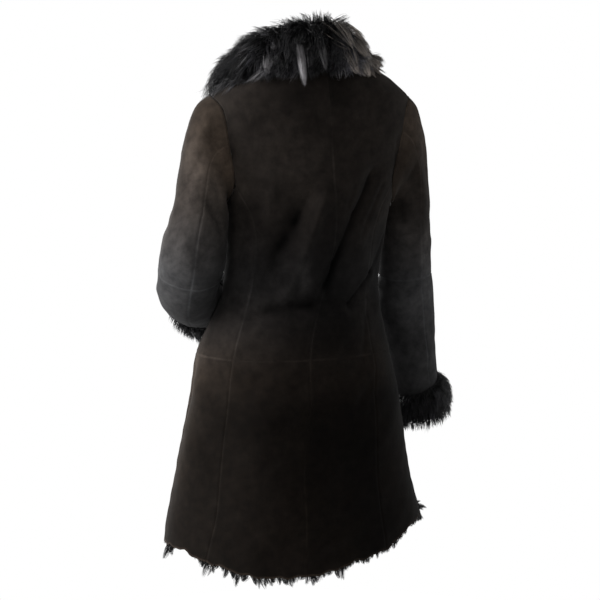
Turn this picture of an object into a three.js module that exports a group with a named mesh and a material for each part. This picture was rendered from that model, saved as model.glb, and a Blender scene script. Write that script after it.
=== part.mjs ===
// Shearling coat, knee length, open at the front, in the form it has when it is worn.
// Each piece that is cut and sewn is a closed solid of its own with the real thickness of the skin.
// Millimetres, +Z up. The front faces -Y and the wearer's left is +X. The origin is the middle of the
// neck opening, at the height of the nape.
import * as THREE from "three";

// Thickness of the skin: suede outside, with the wool inside pressed flat by wear.
const BODY_WALL = 5;
const SLEEVE_WALL = 4.5;
const SEAM_GAP = 0.3;

// Levels are millimetres down the coat's side from the neck, as a tape laid on it would read.
const SHOULDER_TIP_LEVEL = 130;
const PRINCESS_TOP_LEVEL = 296;
const SIDE_PANEL_TOP_LEVEL = 299;
const ARMPIT_LEVEL = 336;
const HIP_LEVEL = 612;
const HEM_LEVEL = 985;
const SIDE_SEAM_ANGLE = 92;

const COLOURS = { suede: 0x453f3c, suedeSide: 0x4b4541, fur: 0x16161a, wool: 0x1d1a1a };

// The coat's girth, level by level: height, half width, depth behind and before the middle, and the middle.
const RINGS = [
  { level: 0, z: 0, half: 78, back: 64, front: 72, x: 0, y: -4 },
  { level: 30, z: -12, half: 104, back: 80, front: 84, x: 1, y: -4 },
  { level: 65, z: -30, half: 137, back: 90, front: 96, x: 3, y: -5 },
  { level: 100, z: -50, half: 166, back: 97, front: 104, x: 5, y: -7 },
  { level: 135, z: -74, half: 190, back: 102, front: 108, x: 7, y: -9 },
  { level: 200, z: -138, half: 190, back: 108, front: 112, x: 8, y: -12 },
  { level: 310, z: -248, half: 166, back: 106, front: 114, x: 10, y: -14 },
  { level: 400, z: -338, half: 154, back: 98, front: 108, x: 16, y: -14 },
  { level: 500, z: -438, half: 152.5, back: 92, front: 102, x: 25.5, y: -12 },
  { level: 610, z: -548, half: 185.5, back: 120, front: 118, x: 39.5, y: -10 },
  { level: 720, z: -658, half: 207, back: 146, front: 136, x: 38, y: -10 },
  { level: 840, z: -778, half: 227, back: 168, front: 158, x: 42, y: -12 },
  { level: 965, z: -903, half: 252, back: 186, front: 182, x: 38, y: -16 },
  { level: 1020, z: -958, half: 257, back: 190, front: 186, x: 38, y: -17 },
];

// Seams run down the coat. Angles are degrees from the centre of the back, positive to the wearer's left.
const CENTRE_BACK = [
  { level: 0, angle: 0 },
  { level: 140, angle: -3 },
  { level: 264, angle: -6 },
  { level: 376, angle: -12 },
  { level: 476, angle: -11 },
  { level: 560, angle: -2 },
  { level: 684, angle: 1 },
  { level: 788, angle: 4.5 },
  { level: 896, angle: 4.5 },
  { level: 992, angle: 6 },
];
const PRINCESS_LEFT = [
  { level: 296, angle: 64 },
  { level: 312, angle: 59 },
  { level: 348, angle: 50 },
  { level: 392, angle: 46 },
  { level: 504, angle: 48 },
  { level: 612, angle: 47 },
  { level: 756, angle: 48 },
  { level: 884, angle: 47 },
  { level: 992, angle: 51 },
];
const PRINCESS_RIGHT = [
  { level: 296, angle: -64 },
  { level: 312, angle: -59 },
  { level: 348, angle: -51 },
  { level: 392, angle: -47 },
  { level: 504, angle: -46 },
  { level: 640, angle: -43 },
  { level: 696, angle: -38.5 },
  { level: 824, angle: -35 },
  { level: 992, angle: -33 },
];
// The armhole is an oval cut: its back edge, and its front edge at the same levels.
const ARMHOLE = [
  { level: 130, back: 90, front: 90 },
  { level: 139, back: 76, front: 103 },
  { level: 152, back: 67, front: 112 },
  { level: 172, back: 62.5, front: 117 },
  { level: 200, back: 61, front: 119 },
  { level: 250, back: 61, front: 119 },
  { level: 278, back: 62, front: 118 },
  { level: 296, back: 64, front: 116 },
  { level: 312, back: 69, front: 112 },
  { level: 324, back: 76, front: 106 },
  { level: 332, back: 84, front: 99 },
  { level: 336, back: 92, front: 92 },
];
// The front edge turns back from the neck and hangs a hand's width from the other one.
const FRONT_EDGE = [
  { level: 0, angle: 115 },
  { level: 30, angle: 125 },
  { level: 65, angle: 133 },
  { level: 100, angle: 141 },
  { level: 135, angle: 147 },
  { level: 200, angle: 155 },
  { level: 310, angle: 164 },
  { level: 400, angle: 167 },
  { level: 612, angle: 166 },
  { level: 840, angle: 163 },
  { level: 992, angle: 161 },
];
// The hem dips at the back and rises to the wearer's right.
const HEM = [
  { angle: -168, level: 956 },
  { angle: -130, level: 950 },
  { angle: -82, level: 943 },
  { angle: -58, level: 941 },
  { angle: -46, level: 952 },
  { angle: -36, level: 971 },
  { angle: -27, level: 979 },
  { angle: -15, level: 988 },
  { angle: -5, level: 999 },
  { angle: 8, level: 1003 },
  { angle: 27, level: 1001 },
  { angle: 43, level: 987 },
  { angle: 55, level: 980 },
  { angle: 65, level: 969 },
  { angle: 96, level: 973 },
  { angle: 130, level: 972 },
  { angle: 168, level: 962 },
];

// Largest folds, from one end to the other: soft ridges stand out and troughs have a depth below nought.
const FOLDS = [
  { fromAngle: 8, fromLevel: 300, toAngle: 36, toLevel: 436, width: 26, height: -9 },
  { fromAngle: -1, fromLevel: 322, toAngle: 18, toLevel: 500, width: 24, height: 7 },
  { fromAngle: -36, fromLevel: 282, toAngle: -10, toLevel: 486, width: 22, height: -8 },
  { fromAngle: -30, fromLevel: 400, toAngle: -62, toLevel: 520, width: 26, height: 5 },
  { fromAngle: 34, fromLevel: 518, toAngle: -34, toLevel: 514, width: 20, height: -7 },
  { fromAngle: 58, fromLevel: 390, toAngle: 56, toLevel: 500, width: 24, height: -5 },
  { fromAngle: -48, fromLevel: 640, toAngle: -60, toLevel: 1000, width: 44, height: 7 },
  { fromAngle: -16, fromLevel: 760, toAngle: -14, toLevel: 1000, width: 46, height: -6 },
  { fromAngle: 26, fromLevel: 720, toAngle: 30, toLevel: 1000, width: 52, height: 5 },
  { fromAngle: 72, fromLevel: 640, toAngle: 76, toLevel: 1000, width: 40, height: 6 },
  { fromAngle: 128, fromLevel: 230, toAngle: 150, toLevel: 430, width: 28, height: -7 },
  { fromAngle: -128, fromLevel: 240, toAngle: -148, toLevel: 440, width: 28, height: -7 },
  { fromAngle: 104, fromLevel: 500, toAngle: 146, toLevel: 530, width: 22, height: -6 },
  { fromAngle: -104, fromLevel: 505, toAngle: -146, toLevel: 525, width: 22, height: -6 },
  { fromAngle: 132, fromLevel: 680, toAngle: 136, toLevel: 1000, width: 46, height: 7 },
  { fromAngle: -128, fromLevel: 660, toAngle: -134, toLevel: 1000, width: 46, height: 7 },
];
// The right shoulder is lower than the left one beside the neck, and the collar sinks with it.
const SHOULDER_DIP = [
  { fromAngle: -86, fromLevel: 50, toAngle: -90, toLevel: 80, width: 40, height: -10.5 },
];
const FOLD_ARC_RADIUS = 165;

// The sleeves: middle of the arm, half width across and half depth fore and aft, from armpit to wrist.
const ARMS = {
  left: [
    { step: 0, x: 204, y: 2, z: -200, across: 48, deep: 56 },
    { step: 1, x: 222, y: 18, z: -288, across: 52, deep: 60 },
    { step: 2, x: 237.5, y: 22, z: -362, across: 60.5, deep: 60 },
    { step: 3, x: 239, y: -18, z: -425, across: 58, deep: 56 },
    { step: 4, x: 211, y: -102, z: -462, across: 54, deep: 53 },
    { step: 5, x: 166, y: -190, z: -486, across: 46, deep: 46 },
  ],
  right: [
    { step: 0, x: -186, y: -50, z: -200, across: 50, deep: 52 },
    { step: 1, x: -197, y: -62, z: -290, across: 50, deep: 53 },
    { step: 2, x: -201, y: -70, z: -395, across: 52.5, deep: 52 },
    { step: 3, x: -209.5, y: -84, z: -480, across: 57, deep: 51 },
    { step: 4, x: -231, y: -104, z: -592, across: 48, deep: 48 },
    { step: 5, x: -252, y: -124, z: -702, across: 46, deep: 46 },
  ],
};
const SLEEVE_TUBE_START = 0.95;
const WRIST_STEP = 5;
const ELBOW_SEAM_STEP = { left: 2.45, right: 2.3 };
const SLEEVE_SEAM_ANGLES = { left: { front: 116, back: 278 }, right: { front: 132, back: 293 } };
// How far the cap's lines run straight out of the armhole and down into the tube: in millimetres over the
// shoulder, and under the arm as shares of the distance between the two. They leave with a slope down.
const CAP = {
  slope: { left: 0.15, right: 0.45 },
  leaveTop: { left: 140, right: 115 },
  leaveShare: 0.8,
  leaveLeast: 12,
  arriveTop: 250,
  arriveShare: 0.9,
};
const CAP_ROWS = 7;
const UPPER_ARM_ROWS = 7;
const FOREARM_ROWS = 8;
const SLEEVE_BODY_CLEARANCE = 2.5;

// The fur collar, from the centre of the back to its point: the line where it rolls over, the edge of its
// fall, and half the thickness of the fur.
const COLLAR_LEFT = [
  { step: 0, rollX: 0, rollY: 72, rollZ: 68, fallX: 0, fallY: 108, fallZ: -32, thick: 27 },
  { step: 1, rollX: 50, rollY: 62, rollZ: 62, fallX: 72, fallY: 96, fallZ: -38, thick: 27 },
  { step: 2, rollX: 90, rollY: 22, rollZ: 46, fallX: 138, fallY: 60, fallZ: -48, thick: 27 },
  { step: 3, rollX: 104, rollY: -25, rollZ: 24, fallX: 187, fallY: -12, fallZ: -63, thick: 26 },
  { step: 4, rollX: 98, rollY: -72, rollZ: 2, fallX: 178, fallY: -84, fallZ: -76, thick: 25 },
  { step: 5, rollX: 80, rollY: -112, rollZ: -58, fallX: 150, fallY: -118, fallZ: -150, thick: 24 },
  { step: 6, rollX: 58, rollY: -134, rollZ: -150, fallX: 108, fallY: -138, fallZ: -232, thick: 21 },
  { step: 7, rollX: 42, rollY: -140, rollZ: -250, fallX: 66, fallY: -142, fallZ: -300, thick: 15 },
  { step: 8, rollX: 44, rollY: -140, rollZ: -316, fallX: 50, fallY: -140, fallZ: -326, thick: 5 },
];
const COLLAR_RIGHT = [
  { step: 0, rollX: 0, rollY: 72, rollZ: 68, fallX: 0, fallY: 108, fallZ: -32, thick: 27 },
  { step: 1, rollX: -37, rollY: 60, rollZ: 49, fallX: -52, fallY: 98, fallZ: -35, thick: 25 },
  { step: 2, rollX: -60, rollY: 24, rollZ: 18, fallX: -89, fallY: 62, fallZ: -39, thick: 17 },
  { step: 3, rollX: -80, rollY: -26, rollZ: 4, fallX: -116, fallY: -14, fallZ: -46, thick: 14 },
  { step: 4, rollX: -84, rollY: -74, rollZ: -10, fallX: -134, fallY: -84, fallZ: -68, thick: 18 },
  { step: 5, rollX: -76, rollY: -112, rollZ: -62, fallX: -130, fallY: -118, fallZ: -142, thick: 24 },
  { step: 6, rollX: -58, rollY: -134, rollZ: -150, fallX: -104, fallY: -138, fallZ: -228, thick: 21 },
  { step: 7, rollX: -42, rollY: -140, rollZ: -250, fallX: -66, fallY: -142, fallZ: -300, thick: 15 },
  { step: 8, rollX: -44, rollY: -140, rollZ: -316, fallX: -50, fallY: -140, fallZ: -326, thick: 5 },
];
const COLLAR_STATIONS_A_SIDE = 24;
const COLLAR_SECTION_POINTS = 14;
const COLLAR_BODY_CLEARANCE = 3.8;
const COLLAR_SQUARENESS = 0.8;

// The turned-back cuffs: height on the thumb side and on the outside, then the fur's section, as a share of
// the height up the sleeve, millimetres past the wrist, and millimetres out from the sleeve.
const CUFFS = {
  left: { low: 46, high: 58 },
  right: { low: 40, high: 60 },
};
const CUFF_SECTION = [
  { upSleeve: 1, pastWrist: 0, out: 0.7 },
  { upSleeve: 0.5, pastWrist: 0, out: 0.7 },
  { upSleeve: 0, pastWrist: 0.8, out: 0.7 },
  { upSleeve: 0, pastWrist: 8, out: -2 },
  { upSleeve: 0, pastWrist: 27, out: 3 },
  { upSleeve: 0, pastWrist: 21, out: 14 },
  { upSleeve: 0.3, pastWrist: 0, out: 19 },
  { upSleeve: 0.7, pastWrist: 0, out: 15 },
  { upSleeve: 1.05, pastWrist: 0, out: 8 },
];

// Wool that shows below the raw hem: an even fringe with tufts where the skin hung longest.
const PILE_SECTION = { top: -14, thick: 5.5, gap: 0.6, fringe: 6 };
const PILE_TUFTS = [
  { angle: -158, width: 5, drop: 10 },
  { angle: -128, width: 7, drop: 8 },
  { angle: -96, width: 6, drop: 10 },
  { angle: -75, width: 7, drop: 12 },
  { angle: -41, width: 3.5, drop: 10 },
  { angle: -24, width: 6, drop: 4 },
  { angle: -9, width: 4, drop: 14 },
  { angle: 3, width: 4, drop: 12 },
  { angle: 14, width: 4, drop: 9 },
  { angle: 24, width: 6, drop: 13 },
  { angle: 36, width: 6, drop: 14 },
  { angle: 50, width: 3, drop: 20 },
  { angle: 80, width: 3.5, drop: 20 },
  { angle: 118, width: 7, drop: 9 },
  { angle: 150, width: 6, drop: 10 },
];
const PILE_POINTS_A_SPAN = 2;

const UPPER_LEVELS = [
  0, 18, 38, 60, 82, 106, SHOULDER_TIP_LEVEL, 139, 152, 172, 198, 226, 254, 278, PRINCESS_TOP_LEVEL,
  SIDE_PANEL_TOP_LEVEL, 312, 324, 332, ARMPIT_LEVEL, 362, 394, 430, 468, 506, 542, 578, HIP_LEVEL,
];
const LOWER_SHARES = [0, 0.1, 0.21, 0.33, 0.45, 0.57, 0.69, 0.8, 0.9, 1];
const COLUMNS = { back: 6, side: 4, front: 6 };

const radians = THREE.MathUtils.degToRad;
const lerp = THREE.MathUtils.lerp;

// A smooth curve through a table's rows, with slopes taken from the neighbouring rows.
function spline(table, along, value) {
  const xs = table.map((row) => row[along]);
  const ys = table.map((row) => row[value]);
  const last = xs.length - 1;
  const slopes = ys.map((_, i) => {
    const a = Math.max(i - 1, 0);
    const b = Math.min(i + 1, last);
    return (ys[b] - ys[a]) / (xs[b] - xs[a]);
  });
  return (x) => {
    const at = THREE.MathUtils.clamp(x, xs[0], xs[last]);
    let i = 0;
    while (i < last - 1 && at > xs[i + 1]) i += 1;
    const span = xs[i + 1] - xs[i];
    return hermite(ys[i], slopes[i] * span, ys[i + 1], slopes[i + 1] * span, (at - xs[i]) / span);
  };
}

function hermite(start, startSlope, end, endSlope, t) {
  const t2 = t * t;
  const t3 = t2 * t;
  const blend = start * (2 * t3 - 3 * t2 + 1) + end * (3 * t2 - 2 * t3);
  return blend + startSlope * (t3 - 2 * t2 + t) + endSlope * (t3 - t2);
}

const ring = {};
for (const name of ["z", "half", "back", "front", "x", "y"]) ring[name] = spline(RINGS, "level", name);
const centreBackAngle = spline(CENTRE_BACK, "level", "angle");
const princessAngle = {
  left: spline(PRINCESS_LEFT, "level", "angle"),
  right: spline(PRINCESS_RIGHT, "level", "angle"),
};
const armholeBackAngle = spline(ARMHOLE, "level", "back");
const armholeFrontAngle = spline(ARMHOLE, "level", "front");
const frontEdgeAngle = spline(FRONT_EDGE, "level", "angle");
const hemLevel = spline(HEM, "angle", "level");

// The coat's smooth outside without folds, at an angle in degrees and a level.
function bodySurface(angle, level) {
  const sine = Math.sin(radians(angle));
  const cosine = Math.cos(radians(angle));
  const depth = cosine > 0 ? ring.back(level) : ring.front(level);
  const x = ring.x(level) + ring.half(level) * sine;
  const y = ring.y(level) + depth * cosine;
  return new THREE.Vector3(x, y, ring.z(level));
}

function bodyNormal(angle, level) {
  const around = bodySurface(angle + 0.5, level).sub(bodySurface(angle - 0.5, level));
  const down = bodySurface(angle, level + 2).sub(bodySurface(angle, Math.max(level - 2, 0)));
  return around.cross(down).normalize();
}

// How far folds push the skin out at a place. Each fold fades away round the line between its ends.
function foldHeight(angle, level, folds = FOLDS) {
  const arc = radians(angle) * FOLD_ARC_RADIUS;
  let height = 0;
  for (const fold of folds) {
    const startArc = radians(fold.fromAngle) * FOLD_ARC_RADIUS;
    const runArc = radians(fold.toAngle) * FOLD_ARC_RADIUS - startArc;
    const runLevel = fold.toLevel - fold.fromLevel;
    const pastArc = arc - startArc;
    const pastLevel = level - fold.fromLevel;
    const along = (pastArc * runArc + pastLevel * runLevel) / (runArc ** 2 + runLevel ** 2);
    const share = THREE.MathUtils.clamp(along, 0, 1);
    const away = Math.hypot(pastArc - share * runArc, pastLevel - share * runLevel);
    height += fold.height * Math.exp(-((away / fold.width) ** 2));
  }
  return height;
}

function bodyWallPoint(angle, level, wall = BODY_WALL) {
  const normal = bodyNormal(angle, level);
  const height = foldHeight(angle, level) + foldHeight(angle, level, SHOULDER_DIP);
  const outer = bodySurface(angle, level).addScaledVector(normal, height);
  const inner = outer.clone().addScaledVector(normal, -wall);
  return { outer, inner, normal };
}

// The surface as a net of points, used to find the place on it that lies nearest to a point in space.
const NET = [];
for (let angle = -180; angle < 180; angle += 5) {
  for (let level = 0; level <= HEM_LEVEL; level += 20) {
    NET.push({ angle, level, point: bodySurface(angle, level) });
  }
}

function nearestOnBody(point) {
  let best = NET[0];
  let bestDistance = Infinity;
  for (const node of NET) {
    const distance = node.point.distanceToSquared(point);
    if (distance < bestDistance) {
      bestDistance = distance;
      best = node;
    }
  }
  let { angle, level } = best;
  let angleStep = 2.5;
  let levelStep = 10;
  while (levelStep > 0.3) {
    let moved = false;
    for (const [da, dl] of [[angleStep, 0], [-angleStep, 0], [0, levelStep], [0, -levelStep]]) {
      const trialLevel = Math.max(level + dl, 0);
      const distance = bodySurface(angle + da, trialLevel).distanceToSquared(point);
      if (distance < bestDistance) {
        bestDistance = distance;
        angle += da;
        level = trialLevel;
        moved = true;
      }
    }
    if (!moved) {
      angleStep /= 2;
      levelStep /= 2;
    }
  }
  return { angle, level };
}

// A point moved out where it would lie closer to the coat's outside, ridges included, than the clearance.
function clearOfBody(point, clearance) {
  const { angle, level } = nearestOnBody(point);
  const normal = bodyNormal(angle, level);
  const raised = Math.max(foldHeight(angle, level), 0) + foldHeight(angle, level, SHOULDER_DIP);
  const surface = bodySurface(angle, level).addScaledVector(normal, raised);
  const height = point.clone().sub(surface).dot(normal);
  if (height < clearance) point.addScaledVector(normal, clearance - height);
  return point;
}

// A closed mesh from points and triangles, turned so that its faces point out.
function closedGeometry(points, triangles) {
  let volume = 0;
  for (const [a, b, c] of triangles) volume += points[a].dot(points[b].clone().cross(points[c]));
  const facing = volume < 0 ? triangles.map(([a, b, c]) => [a, c, b]) : triangles;
  const geometry = new THREE.BufferGeometry();
  const coordinates = points.flatMap((point) => [point.x, point.y, point.z]);
  geometry.setAttribute("position", new THREE.Float32BufferAttribute(coordinates, 3));
  geometry.setIndex(facing.flat());
  geometry.computeVertexNormals();
  return geometry;
}

// Moves the edge points of a grid of wall points towards the next ones in, which opens the seams.
function pullInEdges(rows, distance) {
  const pull = (point, towards) => {
    for (const face of ["outer", "inner"]) {
      const step = towards[face].clone().sub(point[face]).setLength(distance);
      point[face].add(step);
    }
  };
  const lastRow = rows.length - 1;
  for (const row of rows) {
    pull(row[0], row[1]);
    pull(row[row.length - 1], row[row.length - 2]);
  }
  for (let j = 0; j < rows[0].length; j += 1) {
    pull(rows[0][j], rows[1][j]);
    pull(rows[lastRow][j], rows[lastRow - 1][j]);
  }
}

// A piece of skin: both faces of a grid of wall points, and the cut edge all round.
function skinGeometry(grid) {
  const copy = ({ outer, inner }) => ({ outer: outer.clone(), inner: inner.clone() });
  const rows = grid.map((row) => row.map(copy));
  pullInEdges(rows, SEAM_GAP / 2);
  const width = rows[0].length;
  const points = rows.flatMap((row) => row.flatMap(({ outer, inner }) => [outer, inner]));
  const at = (i, j, face) => (i * width + j) * 2 + face;
  const triangles = [];
  const quad = (a, b, c, d) => triangles.push([a, b, c], [a, c, d]);
  for (let i = 0; i + 1 < rows.length; i += 1) {
    for (let j = 0; j + 1 < width; j += 1) {
      quad(at(i, j, 0), at(i, j + 1, 0), at(i + 1, j + 1, 0), at(i + 1, j, 0));
      quad(at(i, j, 1), at(i + 1, j, 1), at(i + 1, j + 1, 1), at(i, j + 1, 1));
    }
    quad(at(i, 0, 0), at(i + 1, 0, 0), at(i + 1, 0, 1), at(i, 0, 1));
    quad(at(i, width - 1, 0), at(i, width - 1, 1), at(i + 1, width - 1, 1), at(i + 1, width - 1, 0));
  }
  for (let j = 0; j + 1 < width; j += 1) {
    const end = rows.length - 1;
    quad(at(0, j, 0), at(0, j, 1), at(0, j + 1, 1), at(0, j + 1, 0));
    quad(at(end, j, 0), at(end, j + 1, 0), at(end, j + 1, 1), at(end, j, 1));
  }
  return closedGeometry(points, triangles);
}

// A thick piece swept along its length: rings of points with a flat cap at each end, or joined end to end.
function sweptGeometry(rings, joined) {
  const width = rings[0].length;
  const points = rings.flat();
  const triangles = [];
  const spans = joined ? rings.length : rings.length - 1;
  for (let i = 0; i < spans; i += 1) {
    const next = (i + 1) % rings.length;
    for (let j = 0; j < width; j += 1) {
      const beside = (j + 1) % width;
      triangles.push([i * width + j, i * width + beside, next * width + beside]);
      triangles.push([i * width + j, next * width + beside, next * width + j]);
    }
  }
  if (!joined) {
    const end = (rings.length - 1) * width;
    for (let j = 1; j + 1 < width; j += 1) {
      triangles.push([0, j + 1, j]);
      triangles.push([end, end + j, end + j + 1]);
    }
  }
  return closedGeometry(points, triangles);
}

const coat = new THREE.Group();

function addPiece(name, geometry, colour) {
  const material = new THREE.MeshStandardMaterial({ color: colour, roughness: 0.95, metalness: 0 });
  const mesh = new THREE.Mesh(geometry, material);
  mesh.name = name;
  coat.add(mesh);
}

// The edges of a side's three upper panels at a level, in degrees: each from its back edge to its front edge.
function panelEdges(side, level) {
  const sign = side === "left" ? 1 : -1;
  const aboveArmhole = level <= SHOULDER_TIP_LEVEL;
  const besideArmhole = level > SHOULDER_TIP_LEVEL && level < ARMPIT_LEVEL;
  let backEnd = princessAngle[side](level);
  if (aboveArmhole) backEnd = sign * 90;
  else if (level <= PRINCESS_TOP_LEVEL) backEnd = sign * armholeBackAngle(level);
  const sideEnd = sign * (besideArmhole ? armholeBackAngle(level) : SIDE_SEAM_ANGLE);
  let frontStart = sign * SIDE_SEAM_ANGLE;
  if (aboveArmhole) frontStart = sign * 90;
  else if (besideArmhole) frontStart = sign * armholeFrontAngle(level);
  return {
    back: [centreBackAngle(level), backEnd],
    side: [princessAngle[side](level), sideEnd],
    front: [frontStart, sign * frontEdgeAngle(level)],
  };
}

function upperPanelGrid(side, panel) {
  const top = panel === "side" ? SIDE_PANEL_TOP_LEVEL : 0;
  return UPPER_LEVELS.filter((level) => level >= top).map((level) => {
    const [start, end] = panelEdges(side, level)[panel];
    const row = [];
    for (let j = 0; j <= COLUMNS[panel]; j += 1) {
      row.push(bodyWallPoint(lerp(start, end, j / COLUMNS[panel]), level));
    }
    return row;
  });
}

function lowerPanelGrid(side, panel) {
  return LOWER_SHARES.map((share) => {
    const [start, end] = panelEdges(side, lerp(HIP_LEVEL, HEM_LEVEL, share))[panel];
    const row = [];
    for (let j = 0; j <= COLUMNS[panel]; j += 1) {
      const angle = lerp(start, end, j / COLUMNS[panel]);
      row.push(bodyWallPoint(angle, lerp(HIP_LEVEL, hemLevel(angle), share)));
    }
    return row;
  });
}

const lowerGrids = {};
for (const side of ["left", "right"]) {
  lowerGrids[side] = {};
  for (const panel of ["back", "side", "front"]) {
    lowerGrids[side][panel] = lowerPanelGrid(side, panel);
    const colour = panel === "side" ? COLOURS.suedeSide : COLOURS.suede;
    addPiece(`${panel}_upper_${side}`, skinGeometry(upperPanelGrid(side, panel)), colour);
    addPiece(`${panel}_lower_${side}`, skinGeometry(lowerGrids[side][panel]), colour);
  }
}

const arms = {};
for (const side of ["left", "right"]) {
  arms[side] = {};
  for (const name of ["x", "y", "z", "across", "deep"]) arms[side][name] = spline(ARMS[side], "step", name);
}

function armCentre(side, step) {
  const arm = arms[side];
  return new THREE.Vector3(arm.x(step), arm.y(step), arm.z(step));
}

function armDirection(side, step) {
  const at = THREE.MathUtils.clamp(step, 0.02, WRIST_STEP - 0.02);
  return armCentre(side, at + 0.02).sub(armCentre(side, at - 0.02)).normalize();
}

// A point round the sleeve: 0 degrees is outside, 90 in front, 180 next to the body and 270 behind.
function armPoint(side, step, angle, out = 0, pastWrist = 0) {
  const sign = side === "left" ? 1 : -1;
  const direction = armDirection(side, step);
  const across = new THREE.Vector3(sign, 0, 0).addScaledVector(direction, -sign * direction.x).normalize();
  const deep = direction.clone().cross(across).multiplyScalar(sign);
  const turn = radians(angle);
  return armCentre(side, step)
    .addScaledVector(across, (arms[side].across(step) + out) * Math.cos(turn))
    .addScaledVector(deep, (arms[side].deep(step) + out) * Math.sin(turn))
    .addScaledVector(direction, pastWrist);
}

// The armhole's points in order: down the front edge from the shoulder tip, then up the back edge.
function armholeLoop(side) {
  const sign = side === "left" ? 1 : -1;
  const levels = UPPER_LEVELS.filter((level) => level >= SHOULDER_TIP_LEVEL && level <= ARMPIT_LEVEL);
  const down = levels.map((level) => bodyWallPoint(sign * armholeFrontAngle(level), level));
  const between = levels.slice(1, -1).reverse();
  const up = between.map((level) => bodyWallPoint(sign * armholeBackAngle(level), level));
  const bottom = down.length - 1;
  const loop = [...down, ...up];
  const reach = [0];
  for (let j = 1; j <= loop.length; j += 1) {
    reach.push(reach[j - 1] + loop[j % loop.length].outer.distanceTo(loop[j - 1].outer));
  }
  loop.forEach((point, j) => {
    const pastBottom = (reach[j] - reach[bottom]) / (reach[loop.length] - reach[bottom]);
    point.angle = j <= bottom ? (180 * reach[j]) / reach[bottom] : 180 + 180 * pastBottom;
  });
  return loop;
}

// A point of the sleeve's cap, on a smooth line from the armhole out over the arm and down into the tube.
function capPoint(side, loopPoint, start, share) {
  const end = armPoint(side, SLEEVE_TUBE_START, loopPoint.angle);
  const top = (1 + Math.cos(radians(loopPoint.angle))) / 2;
  const reach = start.distanceTo(end);
  const outward = new THREE.Vector3(side === "left" ? 1 : -1, 0, -CAP.slope[side]);
  const leave = outward.setLength(lerp(CAP.leaveShare * reach + CAP.leaveLeast, CAP.leaveTop[side], top));
  const arriveLength = lerp(CAP.arriveShare * reach, CAP.arriveTop, top);
  const arrive = armDirection(side, SLEEVE_TUBE_START).setLength(arriveLength);
  const along = (axis) => hermite(start[axis], leave[axis], end[axis], arrive[axis], share);
  return new THREE.Vector3(along("x"), along("y"), along("z"));
}

// The sleeve's rows of wall points: the cap from the armhole to the full tube, then the tube to the wrist.
function sleeveGrid(side) {
  const loop = armholeLoop(side);
  const total = loop.reduce((sum, point) => sum.add(point.outer), new THREE.Vector3());
  const middle = total.divideScalar(loop.length);
  const starts = loop.map(({ outer, inner }) => {
    const inward = middle.clone().sub(outer).setLength(SEAM_GAP);
    return { outer: outer.clone().add(inward), inner: inner.clone().add(inward) };
  });
  const rows = [starts];
  for (let i = 1; i < CAP_ROWS; i += 1) {
    rows.push(loop.map((point, j) => {
      const outer = capPoint(side, point, starts[j].outer, i / CAP_ROWS);
      return { outer: clearOfBody(outer, SLEEVE_BODY_CLEARANCE) };
    }));
  }
  const addRings = (from, to, count) => {
    for (let i = 0; i < count; i += 1) {
      const step = lerp(from, to, i / count);
      rows.push(loop.map(({ angle }) => ({
        outer: clearOfBody(armPoint(side, step, angle), SLEEVE_BODY_CLEARANCE),
      })));
    }
  };
  addRings(SLEEVE_TUBE_START, ELBOW_SEAM_STEP[side], UPPER_ARM_ROWS);
  addRings(ELBOW_SEAM_STEP[side], WRIST_STEP, FOREARM_ROWS);
  rows.push(loop.map(({ angle }) => ({ outer: armPoint(side, WRIST_STEP, angle) })));
  addSleeveInside(rows, side === "left" ? 1 : -1);
  return { rows, angles: loop.map((point) => point.angle) };
}

// Gives each outer point below the armhole its inner point, a wall's thickness in.
function addSleeveInside(rows, sign) {
  for (let i = 1; i < rows.length; i += 1) {
    const width = rows[i].length;
    rows[i].forEach((point, j) => {
      const around = rows[i][(j + 1) % width].outer.clone().sub(rows[i][(j + width - 1) % width].outer);
      const along = rows[Math.min(i + 1, rows.length - 1)][j].outer.clone().sub(rows[i - 1][j].outer);
      const normal = around.cross(along).multiplyScalar(sign).normalize();
      point.inner = point.outer.clone().addScaledVector(normal, -SLEEVE_WALL);
    });
  }
}

const nearestColumn = (angles, target) => {
  const gaps = angles.map((angle) => Math.abs(angle - target));
  return gaps.indexOf(Math.min(...gaps));
};

function addSleeve(side) {
  const { rows, angles } = sleeveGrid(side);
  const front = nearestColumn(angles, SLEEVE_SEAM_ANGLES[side].front);
  const back = nearestColumn(angles, SLEEVE_SEAM_ANGLES[side].back);
  const elbow = CAP_ROWS + UPPER_ARM_ROWS;
  const block = (firstRow, lastRow, firstColumn, lastColumn) =>
    rows.slice(firstRow, lastRow + 1).map((row) => {
      const points = [];
      for (let j = firstColumn; j <= lastColumn; j += 1) points.push(row[j % row.length]);
      return points;
    });
  const last = rows.length - 1;
  const width = angles.length;
  addPiece(`sleeve_upper_top_${side}`, skinGeometry(block(0, elbow, back, front + width)), COLOURS.suede);
  addPiece(`sleeve_upper_under_${side}`, skinGeometry(block(0, elbow, front, back)), COLOURS.suedeSide);
  addPiece(`sleeve_lower_top_${side}`, skinGeometry(block(elbow, last, back, front + width)), COLOURS.suede);
  addPiece(`sleeve_lower_under_${side}`, skinGeometry(block(elbow, last, front, back)), COLOURS.suedeSide);
  return angles;
}

// A turned-back cuff: a ring of fur round the sleeve's end, higher on the outside of the arm.
function addCuff(side, angles) {
  const cuff = CUFFS[side];
  const wristLength = armCentre(side, WRIST_STEP).distanceTo(armCentre(side, WRIST_STEP - 1));
  const rings = angles.map((angle) => {
    const height = lerp(cuff.low, cuff.high, (1 + Math.cos(radians(angle))) / 2);
    return CUFF_SECTION.map(({ upSleeve, pastWrist, out }) => {
      const step = WRIST_STEP - (upSleeve * height) / wristLength;
      return armPoint(side, step, angle, out, pastWrist);
    });
  });
  addPiece(`cuff_${side}`, sweptGeometry(rings, true), COLOURS.fur);
}

for (const side of ["left", "right"]) addCuff(side, addSleeve(side));

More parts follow.
